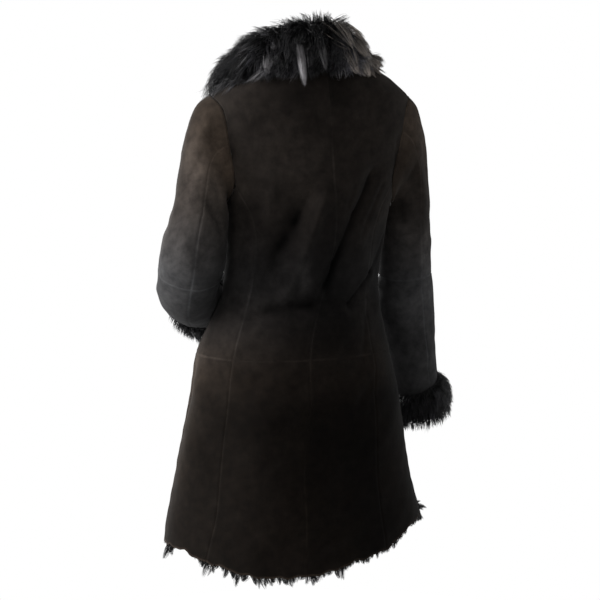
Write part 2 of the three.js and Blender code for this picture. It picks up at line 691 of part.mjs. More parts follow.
// The collar's sections, from the point on the wearer's right round the neck to the point on the left.
function addCollar() {
  const keys = ["rollX", "rollY", "rollZ", "fallX", "fallY", "fallZ", "thick"];
  const lines = {};
  for (const [side, table] of [["left", COLLAR_LEFT], ["right", COLLAR_RIGHT]]) {
    lines[side] = {};
    for (const key of keys) lines[side][key] = spline(table, "step", key);
  }
  const lastStep = COLLAR_LEFT[COLLAR_LEFT.length - 1].step;
  const stations = [];
  for (let i = -COLLAR_STATIONS_A_SIDE; i <= COLLAR_STATIONS_A_SIDE; i += 1) {
    const line = i < 0 ? lines.right : lines.left;
    const step = (lastStep * Math.abs(i)) / COLLAR_STATIONS_A_SIDE;
    stations.push({
      roll: new THREE.Vector3(line.rollX(step), line.rollY(step), line.rollZ(step)),
      fall: new THREE.Vector3(line.fallX(step), line.fallY(step), line.fallZ(step)),
      thick: line.thick(step),
    });
  }
  const middles = stations.map(({ roll, fall }) => roll.clone().add(fall).multiplyScalar(0.5));
  const rings = stations.map(({ roll, fall, thick }, i) => {
    const before = middles[Math.max(i - 1, 0)];
    const after = middles[Math.min(i + 1, middles.length - 1)];
    const travel = after.clone().sub(before).normalize();
    const long = fall.clone().sub(roll).multiplyScalar(0.5);
    const across = long.clone().normalize().cross(travel).normalize();
    const section = [];
    for (let k = 0; k < COLLAR_SECTION_POINTS; k += 1) {
      const turn = (2 * Math.PI * k) / COLLAR_SECTION_POINTS;
      const squared = (value) => Math.sign(value) * Math.abs(value) ** COLLAR_SQUARENESS;
      const point = middles[i].clone()
        .addScaledVector(long, squared(Math.cos(turn)))
        .addScaledVector(across, thick * squared(Math.sin(turn)));
      section.push(clearOfBody(point, COLLAR_BODY_CLEARANCE));
    }
    return section;
  });
  addPiece("collar", sweptGeometry(rings, false), COLOURS.fur);
}

addCollar();

// The hem's wall points in order, from the left front edge round the back to the right one, each with the
// way its wall runs down.
function hemEdge() {
  const edge = [];
  for (const [side, panels] of [["left", ["front", "side", "back"]], ["right", ["back", "side", "front"]]]) {
    for (const panel of panels) {
      const grid = lowerGrids[side][panel];
      const above = grid[grid.length - 2];
      const row = grid[grid.length - 1].map(({ outer, inner }, j) => {
        const down = inner.clone().sub(above[j].inner).normalize();
        return { outer, inner, down };
      });
      if (side === "left") row.reverse();
      edge.push(...(edge.length ? row.slice(1) : row));
    }
  }
  return edge;
}

// The wool at the hem hangs inside the lower panels' edge.
function addHemPile() {
  const edge = hemEdge();
  const { top, thick, gap, fringe } = PILE_SECTION;
  const rings = [];
  for (let i = 0; i < (edge.length - 1) * PILE_POINTS_A_SPAN + 1; i += 1) {
    const before = edge[Math.floor(i / PILE_POINTS_A_SPAN)];
    const after = edge[Math.min(Math.floor(i / PILE_POINTS_A_SPAN) + 1, edge.length - 1)];
    const share = (i % PILE_POINTS_A_SPAN) / PILE_POINTS_A_SPAN;
    const outer = before.outer.clone().lerp(after.outer, share);
    const inner = before.inner.clone().lerp(after.inner, share);
    const down = before.down.clone().lerp(after.down, share).normalize();
    const normal = outer.clone().sub(inner).normalize();
    const turn = Math.atan2(outer.x - ring.x(HEM_LEVEL), outer.y - ring.y(HEM_LEVEL));
    const angle = THREE.MathUtils.radToDeg(turn);
    let drop = fringe;
    for (const tuft of PILE_TUFTS) drop += tuft.drop * Math.exp(-(((angle - tuft.angle) / tuft.width) ** 2));
    const place = (along, out) => inner.clone().addScaledVector(normal, out).addScaledVector(down, along);
    rings.push([
      place(top, -gap),
      place(1.2, -gap),
      place(1.6, BODY_WALL * 0.7),
      place(drop, BODY_WALL * 0.5),
      place(drop, -thick * 0.3),
      place(top, -gap - thick),
    ]);
  }
  addPiece("pile_hem", sweptGeometry(rings, false), COLOURS.wool);
}

addHemPile();

export default coat;
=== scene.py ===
"""Shearling coat in its worn form: suede panels lined with their own wool, long fur on collar and cuffs.

Points are worked out in millimetres and turned into metres when a mesh is made. The front faces -Y and
the wearer's left is +X. Angles go round the coat from the centre of the back towards the wearer's left,
and levels are millimetres down its side from the neck.
"""
import math

import bpy
import numpy as np
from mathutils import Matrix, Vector
from mathutils.kdtree import KDTree


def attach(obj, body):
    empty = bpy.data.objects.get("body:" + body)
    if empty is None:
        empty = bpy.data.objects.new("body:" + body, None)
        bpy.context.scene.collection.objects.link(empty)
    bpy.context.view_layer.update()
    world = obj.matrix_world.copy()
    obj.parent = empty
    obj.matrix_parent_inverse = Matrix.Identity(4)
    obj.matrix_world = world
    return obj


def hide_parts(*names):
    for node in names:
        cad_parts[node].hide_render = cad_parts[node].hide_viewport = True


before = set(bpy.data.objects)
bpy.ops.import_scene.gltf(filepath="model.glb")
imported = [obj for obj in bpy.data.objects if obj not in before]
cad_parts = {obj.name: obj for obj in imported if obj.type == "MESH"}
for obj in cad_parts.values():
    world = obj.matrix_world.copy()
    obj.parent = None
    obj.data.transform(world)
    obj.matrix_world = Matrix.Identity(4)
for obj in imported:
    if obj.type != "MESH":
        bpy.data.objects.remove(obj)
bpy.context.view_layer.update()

MM = 0.001
RANDOM = np.random.default_rng(41)

BODY_WALL = 5.0
SLEEVE_WALL = 4.5
SEAM_OVERLAP = 0.7
CLOTH_SPACING = 6.0

SHOULDER_TIP_LEVEL = 130
PRINCESS_TOP_LEVEL = 296
SIDE_PANEL_TOP_LEVEL = 299
ARMPIT_LEVEL = 336
HIP_LEVEL = 612
HEM_LEVEL = 985
SIDE_SEAM_ANGLE = 92

RINGS = {
    "level": [0, 30, 65, 100, 135, 200, 310, 400, 500, 610, 720, 840, 965, 1020],
    "z": [0, -12, -30, -50, -74, -138, -248, -338, -438, -548, -658, -778, -903, -958],
    "half": [78, 104, 137, 166, 190, 190, 166, 154, 152.5, 185.5, 207, 227, 252, 257],
    "back": [64, 80, 90, 97, 102, 108, 106, 98, 92, 120, 146, 168, 186, 190],
    "front": [72, 84, 96, 104, 108, 112, 114, 108, 102, 118, 136, 158, 182, 186],
    "x": [0, 1, 3, 5, 7, 8, 10, 16, 25.5, 39.5, 38, 42, 38, 38],
    "y": [-4, -4, -5, -7, -9, -12, -14, -14, -12, -10, -10, -12, -16, -17],
}
CENTRE_BACK = {
    "level": [0, 140, 264, 376, 476, 560, 684, 788, 896, 992],
    "angle": [0, -3, -6, -12, -11, -2, 1, 4.5, 4.5, 6],
}
PRINCESS = {
    "left": {
        "level": [296, 312, 348, 392, 504, 612, 756, 884, 992],
        "angle": [64, 59, 50, 46, 48, 47, 48, 47, 51],
    },
    "right": {
        "level": [296, 312, 348, 392, 504, 640, 696, 824, 992],
        "angle": [-64, -59, -51, -47, -46, -43, -38.5, -35, -33],
    },
}
ARMHOLE = {
    "level": [130, 139, 152, 172, 200, 250, 278, 296, 312, 324, 332, 336],
    "back": [90, 76, 67, 62.5, 61, 61, 62, 64, 69, 76, 84, 92],
    "front": [90, 103, 112, 117, 119, 119, 118, 116, 112, 106, 99, 92],
}
FRONT_EDGE = {
    "level": [0, 30, 65, 100, 135, 200, 310, 400, 612, 840, 992],
    "angle": [115, 125, 133, 141, 147, 155, 164, 167, 166, 163, 161],
}
HEM = {
    "angle": [-168, -130, -82, -58, -46, -36, -27, -15, -5, 8, 27, 43, 55, 65, 96, 130, 168],
    "level": [956, 950, 943, 941, 952, 971, 979, 988, 999, 1003, 1001, 987, 980, 969, 973, 972, 962],
}

# Folds run from one place to another: angle and level of both ends, half width and height in millimetres.
FOLDS = [
    (8, 300, 36, 436, 26, -9),
    (-1, 322, 18, 500, 24, 7),
    (-36, 282, -10, 486, 22, -8),
    (-30, 400, -62, 520, 26, 5),
    (34, 518, -34, 514, 20, -7),
    (58, 390, 56, 500, 24, -5),
    (-48, 640, -60, 1000, 44, 7),
    (-16, 760, -14, 1000, 46, -6),
    (26, 720, 30, 1000, 52, 5),
    (72, 640, 76, 1000, 40, 6),
    (128, 230, 150, 430, 28, -7),
    (-128, 240, -148, 440, 28, -7),
    (104, 500, 146, 530, 22, -6),
    (-104, 505, -146, 525, 22, -6),
    (132, 680, 136, 1000, 46, 7),
    (-128, 660, -134, 1000, 46, 7),
]
CREASES = [
    (8, 296, 17, 360, 9, -2.6),
    (17, 360, 32, 428, 10, -4.6),
    (32, 428, 38, 480, 8, -2.4),
    (0, 328, 8, 420, 9, 3.4),
    (8, 420, 19, 504, 9, 3.0),
    (-36, 276, -26, 350, 6, -3.4),
    (-26, 350, -14, 440, 6, -4.4),
    (-14, 440, -6, 500, 5, -3.0),
    (-22, 296, -18, 336, 5, -1.8),
    (-48, 300, -34, 390, 7, -2.6),
    (-70, 400, -50, 460, 8, -3.0),
    (-50, 460, -30, 520, 6, -4.4),
    (31, 522, 14, 508, 6, -4.6),
    (14, 508, 1, 514, 5, -2.6),
    (1, 514, -14, 508, 5, -4.2),
    (-14, 508, -36, 518, 5, -3.0),
    (40, 470, 30, 506, 5, 2.2),
    (48, 478, 42, 520, 5, -2.4),
    (22, 486, 16, 512, 4, 2.0),
    (6, 528, -10, 556, 7, 2.0),
    (64, 388, 57, 488, 9, -2.0),
    (50, 452, 36, 512, 7, 1.8),
    (-45, 536, -35, 620, 7, -1.8),
    (-42, 652, -27, 696, 7, -1.6),
    (-56, 216, -62, 288, 8, -2.2),
    (-12, 936, 3, 964, 8, 1.6),
    (31, 300, 41, 384, 10, 2.0),
    (118, 300, 138, 372, 9, -2.2),
    (110, 360, 128, 450, 8, -2.0),
    (-116, 310, -134, 380, 9, -2.2),
    (-112, 372, -126, 458, 8, -2.0),
    (100, 516, 128, 524, 7, -2.4),
    (-98, 512, -130, 520, 7, -2.4),
    (-92, 450, -92, 484, 14, 3.0),
    (-92, 514, -92, 524, 7, -2.5),
    (84, 640, 92, 760, 10, -1.6),
    (-88, 650, -94, 780, 10, -1.6),
    (150, 620, 148, 800, 11, 1.8),
    (-150, 640, -146, 820, 11, 1.8),
]
# The right shoulder is lower than the left one beside the neck, and the collar sinks with it.
SHOULDER_DIP = [(-86, 50, -90, 80, 40, -10.5)]
FOLD_ARC_RADIUS = 165
FOLD_SCALE = FOLD_ARC_RADIUS * math.pi / 180

# Painted highlights and painted shade in the suede's tone: paler where light falls, as on the left hip, the armhole
# and ridges, darker in creases and on the shaded right side. Both ends as for the folds, half width, and the share
# added to its tone.
BODY_PAINTED_LIGHT = [
    (92, 650, 90, 820, 50, 2.2),
    (98, 860, 98, 980, 40, 1.1),
    (-10, 430, -14, 540, 60, -0.55),
    (30, 235, 20, 240, 46, 0.3),
    (16, 130, 8, 180, 34, -0.45),
    (-72, 90, -76, 130, 30, 1.1),
    (60, 270, 56, 300, 20, 1.1),
    (34, 288, 30, 300, 16, -0.35),
    (12, 330, 17, 365, 9, -0.5),
    (24, 395, 28, 410, 12, -0.35),
    (9, 440, 6, 480, 11, 0.9),
    (-64, 410, -68, 690, 36, -0.7),
    (78, 545, 74, 575, 34, -0.35),
    (70, 150, 63, 290, 12, 0.5),
    (-60, 130, -68, 170, 44, 0.5),
    (-32, 170, -30, 230, 50, 0.3),
    (10, 590, 5, 680, 60, -0.3),
    (-30, 600, -40, 700, 46, -0.3),
    (14, 280, 12, 330, 22, 0.35),
    (-2, 290, -8, 350, 26, -0.3),
    (17, 350, 33, 432, 18, -0.5),
    (-34, 290, -10, 480, 11, -0.45),
    (-56, 440, -32, 512, 12, -0.35),
    (30, 520, 0, 512, 10, -0.45),
    (50, 500, 40, 530, 26, 0.5),
    (52, 330, 56, 430, 26, -0.2),
    (-34, 220, -40, 320, 44, -0.25),
    (52, 700, 48, 960, 40, 0.2),
    (8, 900, 2, 1000, 60, 0.5),
    (-26, 780, -32, 1000, 60, -0.35),
]
# Painted highlights and painted shade in the sleeves' tone, as for the body; angles round the sleeve and millimetres
# below the armpit's level, as for the sleeve creases.
SLEEVE_PAINTED_LIGHT = {
    "left": [
        (20, 60, -20, 190, 60, 0.6),
        (240, 20, 240, 110, 34, 0.3),
        (303, -105, 305, -55, 32, 1.3),
        (266, -105, 260, -50, 28, 1.4),
        (245, -110, 240, -50, 30, 1.0),
        (310, -40, 300, 20, 30, 0.5),
        (298, 60, 296, 150, 26, 0.4),
        (290, 150, 294, 210, 12, 0.25),
        (296, 232, 258, 258, 12, 0.8),
        (300, 90, 330, 130, 50, 0.25),
        (170, 20, 210, 110, 44, -0.4),
    ],
    "right": [
        (275, 20, 280, 80, 30, -0.3),
        (300, 200, 330, 330, 60, 0.3),
        (0, -120, 0, -60, 60, 0.3),
        (320, -110, 330, -80, 30, 1.2),
        (345, -60, 340, 320, 24, 0.8),
        (282, 50, 288, 180, 34, 0.6),
        (308, 60, 312, 170, 20, 1.3),
        (246, -20, 250, 20, 8, -0.55),
    ],
}

ARMS = {
    "left": {
        "step": [0, 1, 2, 3, 4, 5],
        "x": [204, 222, 237.5, 239, 211, 166],
        "y": [2, 18, 22, -18, -102, -190],
        "z": [-200, -288, -362, -425, -462, -486],
        "across": [48, 52, 60.5, 58, 54, 46],
        "deep": [56, 60, 60, 56, 53, 46],
    },
    "right": {
        "step": [0, 1, 2, 3, 4, 5],
        "x": [-186, -197, -201, -209.5, -231, -252],
        "y": [-50, -62, -70, -84, -104, -124],
        "z": [-200, -290, -395, -480, -592, -702],
        "across": [50, 50, 52.5, 57, 48, 46],
        "deep": [52, 53, 52, 51, 48, 46],
    },
}
SLEEVE_TUBE_START = 0.95
WRIST_STEP = 5
ELBOW_SEAM_STEP = {"left": 2.45, "right": 2.3}
SLEEVE_SEAM_ANGLES = {"left": {"front": 116, "back": 278}, "right": {"front": 132, "back": 293}}
CAP = {
    "slope": {"left": 0.15, "right": 0.45}, "leave_top": {"left": 140, "right": 115},
    "leave_share": 0.8, "leave_least": 12, "arrive_top": 250, "arrive_share": 0.9,
}
SLEEVE_BODY_CLEARANCE = 2.5

# Sleeve creases: angle round the sleeve and millimetres below the armpit's level, along the arm.
SLEEVE_CREASES = {
    "left": [
        (250, -60, 240, -10, 12, -3.0),
        (268, -16, 232, 30, 6, -6.5),
        (262, 20, 240, 90, 16, 3.0),
        (300, -60, 330, 20, 12, -2.5),
        (40, -30, 20, 60, 14, 2.0),
        (300, 70, 262, 128, 9, 3.0),
        (262, 88, 210, 128, 10, -3.5),
        (120, 108, 200, 150, 9, -5.0),
        (100, 140, 190, 176, 10, -4.5),
        (80, 90, 150, 116, 9, 3.0),
        (330, 120, 352, 176, 12, 2.5),
        (200, 170, 250, 210, 10, -3.0),
        (60, 210, 100, 280, 12, -2.5),
    ],
    "right": [
        (268, -60, 290, 20, 9, -3.5),
        (290, -56, 306, -6, 8, 3.0),
        (318, -70, 330, -20, 8, -2.5),
        (250, 0, 280, 40, 10, -3.0),
        (330, 60, 318, 110, 10, 3.0),
        (260, 110, 330, 128, 9, -3.0),
        (250, 136, 310, 150, 8, -2.5),
        (120, 120, 200, 132, 9, -3.5),
        (110, 150, 190, 160, 9, -3.0),
        (300, 200, 330, 290, 12, -2.0),
        (40, 60, 60, 150, 12, -2.0),
    ],
}

COLLAR = {
    "left": {
        "step": [0, 1, 2, 3, 4, 5, 6, 7, 8],
        "roll_x": [0, 50, 90, 104, 98, 80, 58, 42, 44],
        "roll_y": [72, 62, 22, -25, -72, -112, -134, -140, -140],
        "roll_z": [68, 62, 46, 24, 2, -58, -150, -250, -316],
        "fall_x": [0, 72, 138, 187, 178, 150, 108, 66, 50],
        "fall_y": [108, 96, 60, -12, -84, -118, -138, -142, -140],
        "fall_z": [-32, -38, -48, -63, -76, -150, -232, -300, -326],
        "thick": [27, 27, 27, 26, 25, 24, 21, 15, 5],
    },
    "right": {
        "step": [0, 1, 2, 3, 4, 5, 6, 7, 8],
        "roll_x": [0, -37, -60, -80, -84, -76, -58, -42, -44],
        "roll_y": [72, 60, 24, -26, -74, -112, -134, -140, -140],
        "roll_z": [68, 49, 18, 4, -10, -62, -150, -250, -316],
        "fall_x": [0, -52, -89, -116, -134, -130, -104, -66, -50],
        "fall_y": [108, 98, 62, -14, -84, -118, -138, -142, -140],
        "fall_z": [-32, -35, -39, -46, -68, -142, -228, -300, -326],
        "thick": [27, 25, 17, 14, 18, 24, 21, 15, 5],
    },
}
CUFFS = {"left": {"low": 46, "high": 58}, "right": {"low": 40, "high": 60}}

# Tufts of wool below the hem: angle, half width in degrees, and how far they hang down.
PILE_TUFTS = [
    (-158, 5, 10), (-128, 7, 8), (-96, 6, 10), (-75, 7, 12), (-41, 3.5, 10), (-24, 6, 4), (-9, 4, 14),
    (3, 4, 12), (14, 4, 9), (24, 6, 13), (36, 6, 14), (50, 3, 20), (80, 3.5, 20), (118, 7, 9), (150, 6, 10),
]


def curve(table, along, value, x):
    """Cubic Hermite curve through a table's rows, with slopes from the neighbouring rows."""
    xs = np.asarray(table[along], float)
    ys = np.asarray(table[value], float)
    slopes = np.empty_like(ys)
    slopes[1:-1] = (ys[2:] - ys[:-2]) / (xs[2:] - xs[:-2])
    slopes[0] = (ys[1] - ys[0]) / (xs[1] - xs[0])
    slopes[-1] = (ys[-1] - ys[-2]) / (xs[-1] - xs[-2])
    x = np.clip(np.asarray(x, float), xs[0], xs[-1])
    i = np.clip(np.searchsorted(xs, x, side="right") - 1, 0, len(xs) - 2)
    span = xs[i + 1] - xs[i]
    return hermite(ys[i], slopes[i] * span, ys[i + 1], slopes[i + 1] * span, (x - xs[i]) / span)


def hermite(start, start_slope, end, end_slope, t):
    t2, t3 = t * t, t * t * t
    blend = start * (2 * t3 - 3 * t2 + 1) + end * (3 * t2 - 2 * t3)
    return blend + start_slope * (t3 - 2 * t2 + t) + end_slope * (t3 - t2)


def unit(v):
    return v / np.maximum(np.linalg.norm(v, axis=-1, keepdims=True), 1e-9)


def lerp(a, b, t):
    return a + (b - a) * t


def ring(name, level):
    return curve(RINGS, "level", name, level)


def body_surface(angle, level):
    angle, level = np.broadcast_arrays(np.asarray(angle, float), np.asarray(level, float))
    sine, cosine = np.sin(np.radians(angle)), np.cos(np.radians(angle))
    depth = np.where(cosine > 0, ring("back", level), ring("front", level))
    x = ring("x", level) + ring("half", level) * sine
    y = ring("y", level) + depth * cosine
    return np.stack([x, y, ring("z", level)], -1)


def body_normal(angle, level):
    around = body_surface(angle + 0.5, level) - body_surface(angle - 0.5, level)
    down = body_surface(angle, level + 2) - body_surface(angle, np.maximum(level - 2, 0))
    return unit(np.cross(around, down))


def crease_height(rows, u, v, scale):
    """Height of folds at places (u degrees, v millimetres); scale is millimetres to a degree."""
    height = np.zeros(np.broadcast(u, v).shape)
    for u0, v0, u1, v1, width, tall in rows:
        run_u, run_v = (u1 - u0) * scale, v1 - v0
        past_u, past_v = (u - u0) * scale, v - v0
        share = np.clip((past_u * run_u + past_v * run_v) / (run_u ** 2 + run_v ** 2), 0, 1)
        away = np.hypot(past_u - share * run_u, past_v - share * run_v)
        height += tall * np.exp(-((away / width) ** 2))
    return height


def fold_height(angle, level):
    return crease_height(FOLDS + SHOULDER_DIP, angle, level, FOLD_SCALE)


def waves(points, length, seed, count=9):
    """Smooth uneven noise from -1 to 1, about length millimetres from crest to crest."""
    dice = np.random.default_rng(seed)
    total = np.zeros(points.shape[:-1])
    for _ in range(count):
        way = unit(dice.normal(size=3)) * 2 * math.pi / (length * dice.uniform(0.6, 1.6))
        total += np.sin(points @ way + dice.uniform(0, 2 * math.pi))
    return total / math.sqrt(count)


LEVEL_NET = np.arange(0, 1021, 2.0)
LEVEL_NET_Z = ring("z", LEVEL_NET)


def body_gap(points):
    """How far points stand outside the coat's smooth outside, below the neck."""
    def share_out(p):
        level = np.interp(-p[..., 2], -LEVEL_NET_Z, LEVEL_NET)
        x = (p[..., 0] - ring("x", level)) / ring("half", level)
        y = p[..., 1] - ring("y", level)
        y = y / np.where(y > 0, ring("back", level), ring("front", level))
        return np.hypot(x, y) - 1, np.degrees(np.arctan2(x, y)), level
    value, angle, level = share_out(points)
    slope = np.stack([
        (share_out(points + step)[0] - share_out(points - step)[0]) for step in np.eye(3)
    ], -1) / 2
    size = np.maximum(np.linalg.norm(slope, axis=-1), 1e-6)
    height = value / size
    height = np.where(points[..., 2] > 0, 1000, height)
    raised = np.maximum(crease_height(FOLDS, angle, level, FOLD_SCALE), 0)
    raised = raised + crease_height(SHOULDER_DIP, angle, level, FOLD_SCALE)
    return height - raised, slope / size[..., None]


def clear_of_body(points, clearance):
    for _ in range(2):
        height, way = body_gap(points)
        push = np.maximum(clearance - height, 0)
        points = points + way * push[..., None]
    return points


# Meshes

def new_object(name, points, triangles_or_quads, materials, face_materials=None, smooth=True):
    """A mesh object from points in millimetres and faces that all have the same number of corners."""
    faces = np.asarray(triangles_or_quads, np.int32)
    corners = faces.shape[1]
    mesh = bpy.data.meshes.new(name)
    mesh.vertices.add(len(points))
    mesh.vertices.foreach_set("co", (np.asarray(points, np.float32) * MM).ravel())
    mesh.loops.add(faces.size)
    mesh.loops.foreach_set("vertex_index", faces.ravel())
    mesh.polygons.add(len(faces))
    mesh.polygons.foreach_set("loop_start", np.arange(0, faces.size, corners, dtype=np.int32))
    mesh.update(calc_edges=True)
    for material in materials:
        mesh.materials.append(material)
    if face_materials is not None:
        mesh.polygons.foreach_set("material_index", np.asarray(face_materials, np.int32))
    mesh.polygons.foreach_set("use_smooth", np.full(len(faces), smooth))
    mesh.validate()
    mesh.update()
    obj = bpy.data.objects.new(name, mesh)
    bpy.context.scene.collection.objects.link(obj)
    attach(obj, "root")
    return obj


def grid_faces(rows, columns):
    i, j = np.meshgrid(np.arange(rows - 1), np.arange(columns - 1), indexing="ij")
    a = (i * columns + j).ravel()
    return np.stack([a, a + 1, a + columns + 1, a + columns], -1)


def shell_faces(rows, columns):
    """Faces of a closed sheet with two layers: outside, inside and the cut edge, and which is which."""
    outside = grid_faces(rows, columns)
    count = rows * columns
    inside = outside[:, ::-1] + count
    ids = np.arange(count).reshape(rows, columns)
    edge = np.concatenate([ids[0, :-1], ids[:-1, -1], ids[-1, :0:-1], ids[:0:-1, 0]])
    after = np.roll(edge, -1)
    rim = np.stack([after, edge, edge + count, after + count], -1)
    kinds = np.concatenate([np.zeros(len(outside)), np.ones(len(inside)), np.full(len(rim), 2)])
    return np.concatenate([outside, inside, rim]), kinds.astype(int)


def edge_distances(grid):
    """Distance along the surface from each point of a grid to its four edges: left, right, top, bottom."""
    across = np.linalg.norm(np.diff(grid, axis=1), axis=-1)
    down = np.linalg.norm(np.diff(grid, axis=0), axis=-1)
    left = np.concatenate([np.zeros((grid.shape[0], 1)), np.cumsum(across, 1)], 1)
    top = np.concatenate([np.zeros((1, grid.shape[1])), np.cumsum(down, 0)], 0)
    return left, left[:, -1:] - left, top, top[-1:] - top


def push_out(grid, distance, raw_edges):
    """Moves the edges that are sewn outwards along the surface, so that the pieces meet inside the seam."""
    grid = grid.copy()
    for edge, ends in (("left", (slice(None), 0, 1)), ("right", (slice(None), -1, -2))):
        if edge not in raw_edges:
            _, last, before = ends
            grid[:, last] += unit(grid[:, last] - grid[:, before]) * distance
    for edge, last, before in (("top", 0, 1), ("bottom", -1, -2)):
        if edge not in raw_edges:
            grid[last] += unit(grid[last] - grid[before]) * distance
    return grid


def add_panel(name, outer, normal, wall, nap_and_painted_light, raw_edges=()):
    """A sewn piece of skin from its outer points and their normals, with sunk edges at its seams."""
    left, right, top, bottom = edge_distances(outer)
    distances = {"left": left, "right": right, "top": top, "bottom": bottom}
    seam = np.min([d for edge, d in distances.items() if edge not in raw_edges], axis=0)
    nearest = np.min(list(distances.values()), axis=0)
    cut = np.min([distances[edge] for edge in raw_edges] or [nearest + 40], axis=0)
    sunk = 0.5 * np.exp(-((seam / 1.3) ** 2)) - 0.3 * np.exp(-(((seam - 4.5) / 2.5) ** 2))
    shaped = outer - normal * sunk[..., None]
    wool = wall - 0.6 + 1.5 * waves(outer, 14, 5)[..., None] * np.minimum(nearest / 6, 1)[..., None]
    inner = push_out(outer - normal * wool, SEAM_OVERLAP, raw_edges)
    rows, columns = outer.shape[:2]
    faces, kinds = shell_faces(rows, columns)
    points = np.concatenate([shaped.reshape(-1, 3), inner.reshape(-1, 3)])
    corners = points[faces]
    volume = np.einsum("ij,ij->", corners[:, 0], np.cross(corners[:, 1], corners[:, 2]))
    if volume < 0:
        faces = faces[:, ::-1]
    obj = new_object(name, points, faces, [SUEDE, WOOL], np.where(kinds == 1, 1, 0))
    add_attribute(obj, "seam", np.concatenate([seam.ravel(), seam.ravel() + 40]))
    add_attribute(obj, "cut", np.concatenate([cut.ravel(), cut.ravel()]))
    # Tone carries the skin's own tone with painted highlights and painted shade multiplied in; grey is its hue.
    for layer, values in zip(("tone", "grey"), nap_and_painted_light):
        values = np.broadcast_to(values, seam.shape).ravel()
        add_attribute(obj, layer, np.concatenate([values, values]))
    obj.data.set_sharp_from_angle(angle=math.radians(50))
    return obj


def add_attribute(obj, name, values):
    layer = obj.data.attributes.new(name, "FLOAT", "POINT")
    layer.data.foreach_set("value", np.asarray(values, np.float32).ravel())


# Materials

def new_material(name):
    material = bpy.data.materials.new(name)
    material.use_nodes = True
    nodes = material.node_tree.nodes
    return material, nodes, material.node_tree.links, nodes["Principled BSDF"]


def noise(nodes, links, coordinates, scale, detail, roughness=0.55):
    node = nodes.new("ShaderNodeTexNoise")
    node.inputs["Scale"].default_value = scale
    node.inputs["Detail"].default_value = detail
    node.inputs["Roughness"].default_value = roughness
    links.new(coordinates, node.inputs["Vector"])
    return node.outputs["Fac"]


def ramp(nodes, links, value, stops):
    node = nodes.new("ShaderNodeValToRGB")
    elements = node.color_ramp.elements
    while len(elements) < len(stops):
        elements.new(0.5)
    for element, (position, colour) in zip(elements, stops):
        element.position = position
        element.color = (*colour, 1)
    links.new(value, node.inputs["Fac"])
    return node.outputs["Color"]


def math_node(nodes, links, operation, a, b):
    node = nodes.new("ShaderNodeMath")
    node.operation = operation
    for socket, value in zip(node.inputs, (a, b)):
        if isinstance(value, (int, float)):
            socket.default_value = value
        else:
            links.new(value, socket)
    return node.outputs["Value"]


def blend_colours(nodes, links, factor, a, b, mode="MIX"):
    node = nodes.new("ShaderNodeMix")
    node.data_type = "RGBA"
    node.blend_type = mode
    for socket, value in ((node.inputs[0], factor), (node.inputs[6], a), (node.inputs[7], b)):
        if isinstance(value, tuple):
            socket.default_value = (*value, 1)
        elif isinstance(value, (int, float)):
            socket.default_value = value
        else:
            links.new(value, socket)
    return node.outputs[2]


def attribute(nodes, name):
    node = nodes.new("ShaderNodeAttribute")
    node.attribute_name = name
    return node.outputs["Fac"]


def object_coordinates(nodes):
    return nodes.new("ShaderNodeTexCoord").outputs["Object"]


def bump(nodes, links, height, strength, distance):
    node = nodes.new("ShaderNodeBump")
    node.inputs["Strength"].default_value = strength
    node.inputs["Distance"].default_value = distance
    links.new(height, node.inputs["Height"])
    return node.outputs["Normal"]


def suede_material():
    material, nodes, links, surface = new_material("suede")
    place = object_coordinates(nodes)
    mottles = noise(nodes, links, place, 11, 4)
    nap_and_painted_light = noise(nodes, links, place, 60, 5, 0.65)
    grain = noise(nodes, links, place, 900, 3)
    brown = ramp(nodes, links, mottles, [(0.3, (0.0098, 0.0072, 0.0054)), (0.7, (0.018, 0.0138, 0.0108))])
    grey = ramp(nodes, links, mottles, [(0.3, (0.0092, 0.0092, 0.0096)), (0.7, (0.0146, 0.0146, 0.0151))])
    base = blend_colours(nodes, links, attribute(nodes, "grey"), brown, grey)
    worn = ramp(nodes, links, nap_and_painted_light, [(0.3, (0.68, 0.68, 0.68)), (0.7, (1.36, 1.34, 1.32))])
    colour = blend_colours(nodes, links, 1.0, base, worn, "MULTIPLY")
    line = ramp(nodes, links, math_node(nodes, links, "DIVIDE", attribute(nodes, "seam"), 6.0),
                [(0.18, (1, 1, 1)), (0.5, (0, 0, 0))])
    rub = ramp(nodes, links, noise(nodes, links, place, 13, 3),
               [(0.42, (0.1, 0.1, 0.1)), (0.62, (0.5, 0.5, 0.5))])
    pale = blend_colours(nodes, links, 1.0, colour, (2.2, 2.25, 2.3), "MULTIPLY")
    colour = blend_colours(nodes, links, math_node(nodes, links, "MULTIPLY", line, rub), colour, pale)
    edge = ramp(nodes, links, math_node(nodes, links, "DIVIDE", attribute(nodes, "cut"), 6.0),
                [(0.4, (1, 1, 1)), (0.8, (0, 0, 0))])
    colour = blend_colours(nodes, links, math_node(nodes, links, "MULTIPLY", edge, 0.6), colour, (0.09, 0.066, 0.05))
    # The tone attribute multiplies in each panel's tone with its painted highlights and painted shade.
    tone = attribute(nodes, "tone")
    tone_colour = nodes.new("ShaderNodeCombineColor")
    for socket in tone_colour.inputs[:3]:
        links.new(tone, socket)
    colour = blend_colours(nodes, links, 1.0, colour, tone_colour.outputs["Color"], "MULTIPLY")
    links.new(colour, surface.inputs["Base Color"])
    surface.inputs["Roughness"].default_value = 0.92
    surface.inputs["Specular IOR Level"].default_value = 0.04
    surface.inputs["Sheen Weight"].default_value = 0.05
    surface.inputs["Sheen Roughness"].default_value = 0.5
    surface.inputs["Sheen Tint"].default_value = (0.5, 0.5, 0.5, 1)
    height = math_node(nodes, links, "ADD", math_node(nodes, links, "MULTIPLY", grain, 0.35), nap_and_painted_light)
    links.new(bump(nodes, links, height, 0.5, 0.0012), surface.inputs["Normal"])
    return material


